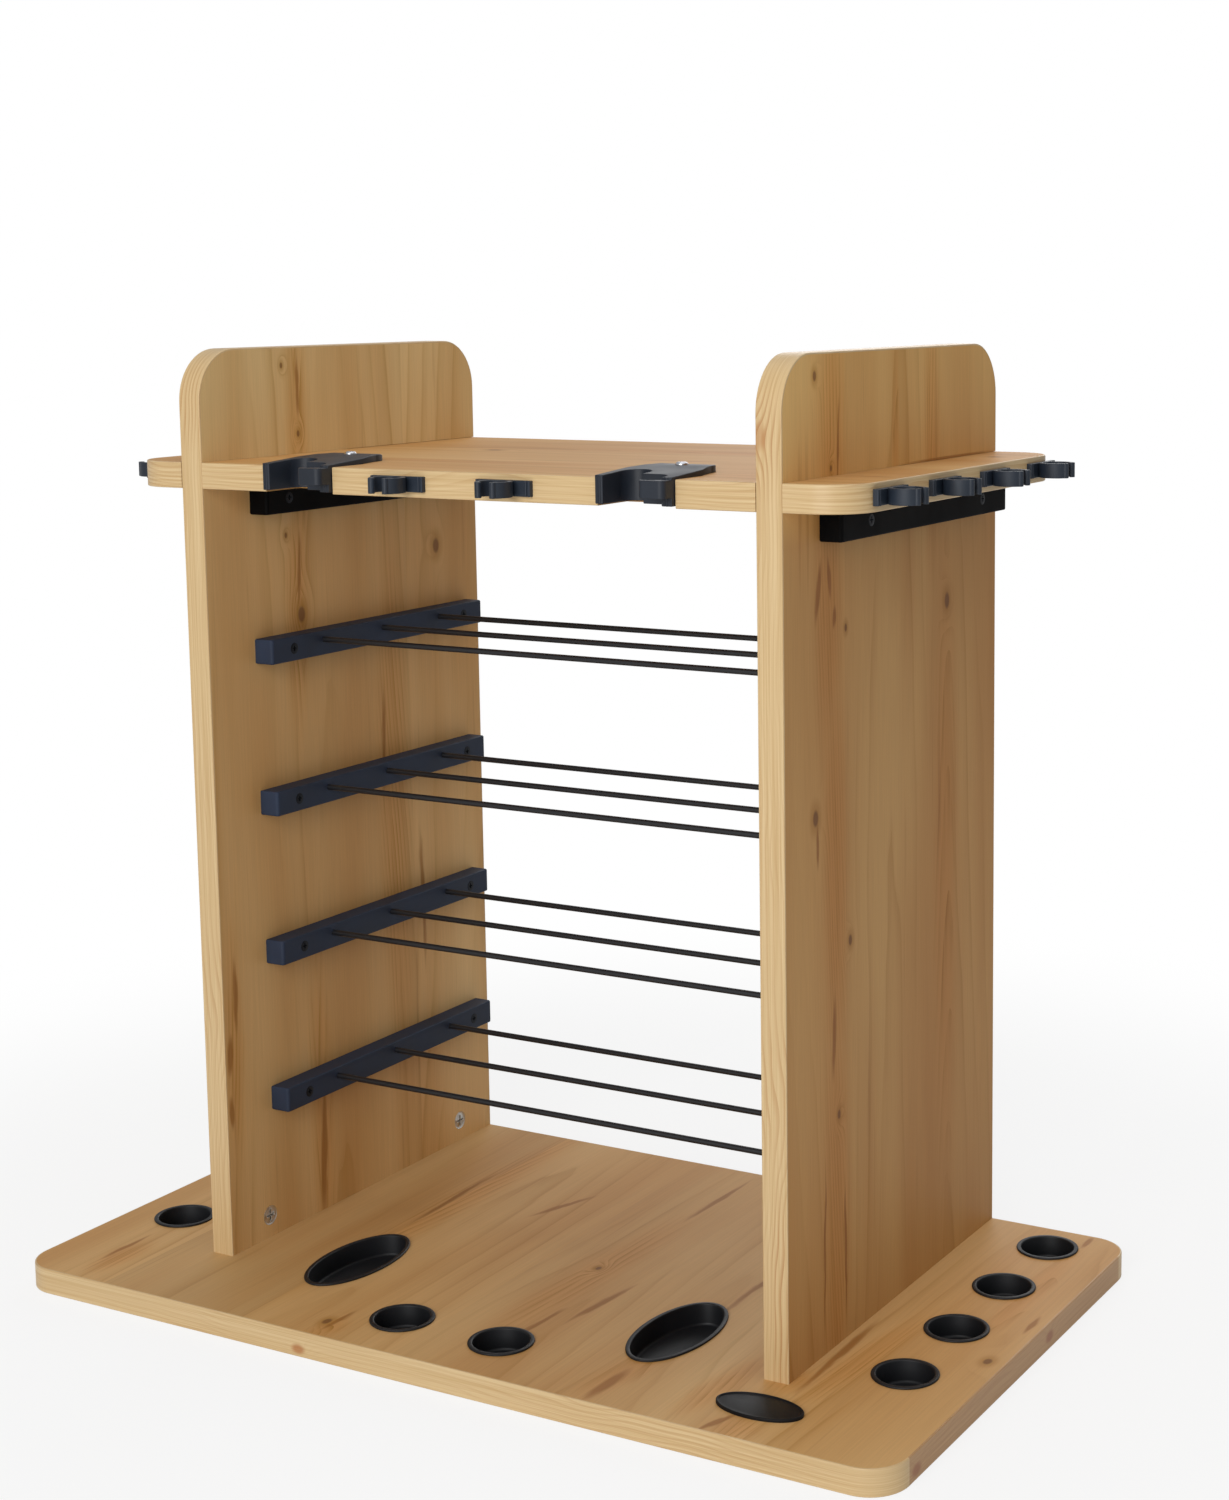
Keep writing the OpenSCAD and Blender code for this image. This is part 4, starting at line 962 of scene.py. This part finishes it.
# %% Dual clips
DUAL_EASE = 0.45 * MM
dual_stamp = eased_copy("dual_clip_stamp", "dual_clip_right", dual_nylon, DUAL_EASE,
                        (DUAL_X, front, shelf_high.z))
dual_clips = rows("dual_clips_eased", dual_nylon, [
    (dual_stamp, 2, (-DUAL_X, front, shelf_high.z), (2 * DUAL_X, 0, 0), (0, 0, 0))])
dress(dual_clips, "rack", "dual_clip_plastic", "dual_clip_left", "dual_clip_right")

# %% [markdown]
# ## Rails, shelf bars and wires
# The rails are solid black mouldings with small round corners towards the opening, screwed to the
# panels at four levels; stouter bars of the same family hold the shelf. Their long top and bottom
# edges get a one millimetre radius. The wires between the rails are round steel with chamfered ends.

# %% Rails and bars
LEVELS = 4
RAIL_EASE = 1.0 * MM
first_rail, rail_step = places("box_rail_left_1", "box_rail_left_4", LEVELS, x=0, y=0)
rail_low, rail_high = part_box("box_rail_left_1")
RAIL_HALF = (rail_high.z - rail_low.z) / 2
rail_stamps = [eased_copy(f"{side}_rail_stamp", f"box_rail_{side}_1", rail_abs, RAIL_EASE, first_rail,
                          lambda edge: on_levels(edge, -RAIL_HALF, RAIL_HALF)) for side in SIDES]
box_rails = rows("box_rails_eased", rail_abs, [
    (stamp, LEVELS, first_rail, rail_step, (0, 0, 0)) for stamp in rail_stamps])
dress(box_rails, "rack", "rail_plastic", *both_sides("box_rail"))

inner_bar, outer_bar = middle("shelf_bar_right_inner"), middle("shelf_bar_right_outer")
bar_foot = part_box("shelf_bar_right_inner")[0].z
for side in SIDES:
    for place in ("inner", "outer"):
        bar = eased_copy(f"shelf_bar_{side}_{place}_eased", f"shelf_bar_{side}_{place}", bar_abs_painted_shade, RAIL_EASE,
                         chosen=lambda edge: on_levels(edge, bar_foot))
        dress(bar, "rack", "rail_plastic", f"shelf_bar_{side}_{place}")

# %% Wires
WIRE_RADIUS, WIRE_CHAMFER = 1.75, 0.45
FIRST_WIRE_Y, WIRE_STEP = -11.5 * MM, 58 * MM
wire_low, wire_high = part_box("box_wires_1")
wire_z = middle("box_wires_1").z
wire_length = (wire_high.x - wire_low.x) / MM
wire_mesh = loft("wire", [ellipse(radius, radius, height, 20) for radius, height in (
    (WIRE_RADIUS - WIRE_CHAMFER, 0), (WIRE_RADIUS, WIRE_CHAMFER),
    (WIRE_RADIUS, wire_length - WIRE_CHAMFER), (WIRE_RADIUS - WIRE_CHAMFER, wire_length))])
wire_stamp = keep_mesh("wire_stamp", wire_mesh, wire_coat)
wires = rows("box_wires_rounded", wire_coat, [
    (wire_stamp, LEVELS, (wire_low.x, FIRST_WIRE_Y + i * WIRE_STEP, wire_z), rail_step, (0, 90, 0))
    for i in range(3)])
dress(wires, "rack", "wire_steel", *[f"box_wires_{i}" for i in range(1, LEVELS + 1)])

# %% [markdown]
# ## Screws
# A cross recess screw is a turned head and shank with a plus-shaped pocket. The pocket is real
# geometry: the head's top is filled between its round rim and the plus outline, and the plus is sunk.
# A Boolean cut would do the same, but leaves slivers that shade badly on such a small face.
# The rows tree then sets every screw in its hole, turned to face out of the part that it holds.

# %% Screw stamps
SHANK, TIP, TAPER = 1.75, 0.35, 2.5
CROSS_ARM, CROSS_HALF, CROSS_DEPTH, CROSS_DRAFT = 1.8, 0.45, 1.1, 0.8


def screw(name, material, head, length, steps=32):
    """A screw along -Z. head holds (radius, height) pairs in mm from the rim of the top face downwards."""
    bm = bmesh.new()
    profile = head + [(SHANK, -length + TAPER), (TIP, -length)]
    turns = [[bm.verts.new(point) for point in ellipse(r, r, z, steps)] for r, z in profile]
    for upper, lower in zip(turns, turns[1:]):
        bridge(bm, lower, upper)
    bm.faces.new(turns[-1])
    arm, half, top = CROSS_ARM, CROSS_HALF, head[0][1]
    quarter = [(arm, -half), (arm, half), (half, half)]
    plus = []
    for _ in range(4):
        plus += quarter
        quarter = [(-y, x) for x, y in quarter]
    mouth = [bm.verts.new((x, y, top)) for x, y in plus]
    floor = [bm.verts.new((x * CROSS_DRAFT, y * CROSS_DRAFT, top - CROSS_DEPTH)) for x, y in plus]
    bridge(bm, floor, mouth)
    bm.faces.new(floor)
    rim = [bm.edges.get((loop[i - 1], loop[i])) for loop in (turns[0], mouth) for i in range(len(loop))]
    bmesh.ops.triangle_fill(bm, edges=rim, use_beauty=True)
    return keep_mesh(name, finished_mesh(bm, name, 30), material)


SUNK_HEAD = [(3.1, 0.0), (3.3, -0.06), (3.38, -0.25), (1.75, -2.0)]
PAN_HEAD = [(2.2, 1.5), (2.9, 1.2), (3.3, 0.7), (3.4, 0.2), (3.4, 0.0), (1.75, -0.2)]
panel_screw = screw("panel_screw_stamp", black_steel, SUNK_HEAD, 24)
shelf_screw = screw("shelf_screw_stamp", black_steel, SUNK_HEAD, 28)
clip_screw = screw("clip_screw_stamp", black_steel, SUNK_HEAD, 16)
dual_screw = screw("dual_screw_stamp", bright_steel, PAN_HEAD, 14)
print("faces of a panel screw:", len(panel_screw.data.polygons))

# %% Screws in their holes
FACE_INWARD = {-1: (0, 90, 0), 1: (0, -90, 0)}
FACE_DOWN, FACE_FRONT, FACE_UP = (180, 0, 0), (90, 0, 0), (0, 0, 0)
RAIL_SCREW_Y = (-39 * MM, 131 * MM)
OUTER_BAR_SCREW_Y, OUTER_BAR_SCREW_STEP = -25 * MM, 142 * MM
SHELF_SCREW_Y, SHELF_SCREW_STEP = -5 * MM, 102 * MM
CLIP_FLANGE = 3.2 * MM
rail_face, outer_bar_face = -rail_high.x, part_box("shelf_bar_right_outer")[1].x

panel_rows, shelf_rows = [], []
for hand in (-1, 1):
    for y in RAIL_SCREW_Y:
        for count, z in ((LEVELS, first_rail.z), (1, inner_bar.z)):
            panel_rows.append((panel_screw, count, (hand * rail_face, y, z), rail_step, FACE_INWARD[hand]))
    panel_rows.append((panel_screw, 2, (hand * outer_bar_face, OUTER_BAR_SCREW_Y, outer_bar.z),
                       (0, OUTER_BAR_SCREW_STEP, 0), FACE_INWARD[-hand]))
    for bar in (inner_bar, outer_bar):
        shelf_rows.append((shelf_screw, 2, (hand * bar.x, SHELF_SCREW_Y, bar_foot),
                           (0, SHELF_SCREW_STEP, 0), FACE_DOWN))
clip_rows = [(clip_screw, count, first + CLIP_FLANGE * Vector(out), step, turn)
             for (first, step), count, out, turn in ((left_clips, 4, (-1, 0, 0), FACE_INWARD[1]),
                                                     (right_clips, 4, (1, 0, 0), FACE_INWARD[-1]),
                                                     (front_clips, 2, (0, -1, 0), FACE_FRONT))]
dual_rows = [(dual_screw, 2, (-DUAL_X, middle("dual_clip_screws").y, dual_high.z), (2 * DUAL_X, 0, 0),
              FACE_UP)]
for name, material, screw_rows, slot_name, node in (
        ("panel_screws_cross", black_steel, panel_rows, "black_screw", "panel_screws"),
        ("shelf_screws_cross", black_steel, shelf_rows, "black_screw", "shelf_screws"),
        ("clip_screws_cross", black_steel, clip_rows, "black_screw", "clip_screws"),
        ("dual_clip_screws_pan", bright_steel, dual_rows, "bright_screw", "dual_clip_screws")):
    dress(rows(name, material, screw_rows), "rack", slot_name, node)
put_away(round_stamp, oval_stamp, clip_stamp, dual_stamp, wire_stamp, *rail_stamps,
         panel_screw, shelf_screw, clip_screw, dual_screw)

# %% [markdown]
# ## Knock-down fittings
# A cam lock is a zinc disc that a screwdriver turns to pull a panel down on its bolt. Its face is sunk
# between a bright rim and the collar of the cross, to save metal in the die. Each one is its own moving
# body, so each gets its own eased copy that rides on that body. The bolts and dowels are hidden in the
# joints; their CAD solids stay and take a fitting material.

# %% Cam locks, bolts and dowels
CAM_EASE, CAM_RIM, CAM_SINK = 0.2 * MM, 0.8 * MM, 0.8 * MM


def sink_cam_face(mesh):
    """Sinks a cam's face, which is flush with a panel's inner side, all round its cross."""
    bm = bmesh.new()
    bm.from_mesh(mesh)
    face = [f for f in bm.faces if abs(abs(f.calc_center_median().x) - panel_low.x) < TOUCH]
    bmesh.ops.inset_region(bm, faces=face, thickness=CAM_RIM, depth=-CAM_SINK, use_even_offset=True)
    bm.to_mesh(mesh)
    bm.free()


for side in SIDES:
    for place in ("front", "back"):
        cam = eased_copy(f"cam_lock_{side}_{place}_eased", f"cam_lock_{side}_{place}", cam_zinc, CAM_EASE,
                         detail=sink_cam_face)
        dress(cam, f"cam_{side}_{place}", "cam_zinc", f"cam_lock_{side}_{place}")
coat("cam_bolts", bright_steel)
coat("dowels", beech)

# %% [markdown]
# ## Floor and light
# The portrait shows the rack cut out on white. The floor is plain and pale and keeps a soft shadow;
# from 0.36 to 0.9 m away from the rack's middle it turns white, and so does the world, but only for rays
# that come straight from the camera or by way of gloss or glass, so that the white never adds light. A
# wide soft box in front, a weaker one overhead, a third behind and a little light all round show the
# fronts brighter than the tops and sides.

# %% Floor and world
GLOSS_SHARE = 0.3
FLOOR_HALF = 6
WHITE = (1, 1, 1, 1)


def background_share(tree):
    """1 for rays that see the background straight or through glass, and a share of it by way of gloss."""
    paths = add(tree, "ShaderNodeLightPath").outputs
    gloss = add(tree, "ShaderNodeMath", [paths["Is Glossy Ray"], GLOSS_SHARE], operation="MULTIPLY")
    seen = add(tree, "ShaderNodeMath", [paths["Is Camera Ray"], gloss], operation="MAXIMUM")
    return add(tree, "ShaderNodeMath", [seen, paths["Is Transmission Ray"]], operation="MAXIMUM")


floor_mesh = bpy.data.meshes.new("floor")
floor_corners = [(x * FLOOR_HALF, y * FLOOR_HALF, 0) for x, y in ((-1, -1), (1, -1), (1, 1), (-1, 1))]
floor_mesh.from_pydata(floor_corners, [], [(0, 1, 2, 3)])
floor_paint, floor_tree, floor_shader = new_material("matt_white_floor", Roughness=0.9, IOR=1.45,
                                                     Base_Color=colour("F0F0EE"))
floor_place = add(floor_tree, "ShaderNodeTexCoord").outputs["Object"]
floor_reach = add(floor_tree, "ShaderNodeVectorMath", [floor_place], operation="LENGTH")
floor_far = add(floor_tree, "ShaderNodeMapRange", [floor_reach, 0.36, 0.9, 0.8, 1.0],
                interpolation_type="SMOOTHERSTEP")
floor_white = add(floor_tree, "ShaderNodeMath", [floor_far, background_share(floor_tree)],
                  operation="MULTIPLY")
floor_glow = add(floor_tree, "ShaderNodeEmission", {"Color": WHITE, "Strength": 1.0})
floor_mix = add(floor_tree, "ShaderNodeMixShader", [floor_white, floor_shader, floor_glow])
plug(floor_tree, floor_tree.nodes["Material Output"], {"Surface": floor_mix})
floor = keep_mesh("floor", floor_mesh, floor_paint)

world = bpy.data.worlds.new("studio")
world.use_nodes = True
bpy.context.scene.world = world
sky = world.node_tree
all_round = add(sky, "ShaderNodeBackground", {"Color": colour("F4F6FA"), "Strength": 0.30})
white = add(sky, "ShaderNodeBackground", {"Color": WHITE, "Strength": 1.0})
sky_mix = add(sky, "ShaderNodeMixShader", [background_share(sky), all_round, white])
plug(sky, sky.nodes["World Output"], {"Surface": sky_mix})
print("floor", 2 * FLOOR_HALF, "m wide, white shown to gloss:", GLOSS_SHARE)

# %% Soft boxes
RACK_HEART = Vector((0, 0, 0.28))


def soft_box(name, place, size, watts):
    """A square area lamp aimed at the middle of the rack."""
    lamp = bpy.data.lights.new(name, "AREA")
    lamp.shape, lamp.size, lamp.energy = "SQUARE", size, watts
    holder = bpy.data.objects.new(name, lamp)
    bpy.context.scene.collection.objects.link(holder)
    aim = (RACK_HEART - Vector(place)).to_track_quat("-Z", "Y")
    holder.matrix_world = Matrix.Translation(place) @ aim.to_matrix().to_4x4()
    print(name, "gives", watts, "W")


soft_box("front_softbox", (0.45, -2.7, 1.3), 1.8, 52)
soft_box("overhead_softbox", (0.3, 0.2, 2.6), 2.0, 14)
soft_box("back_softbox", (-0.6, 2.6, 1.4), 1.8, 16)
bpy.context.scene.view_settings.view_transform = "Standard"
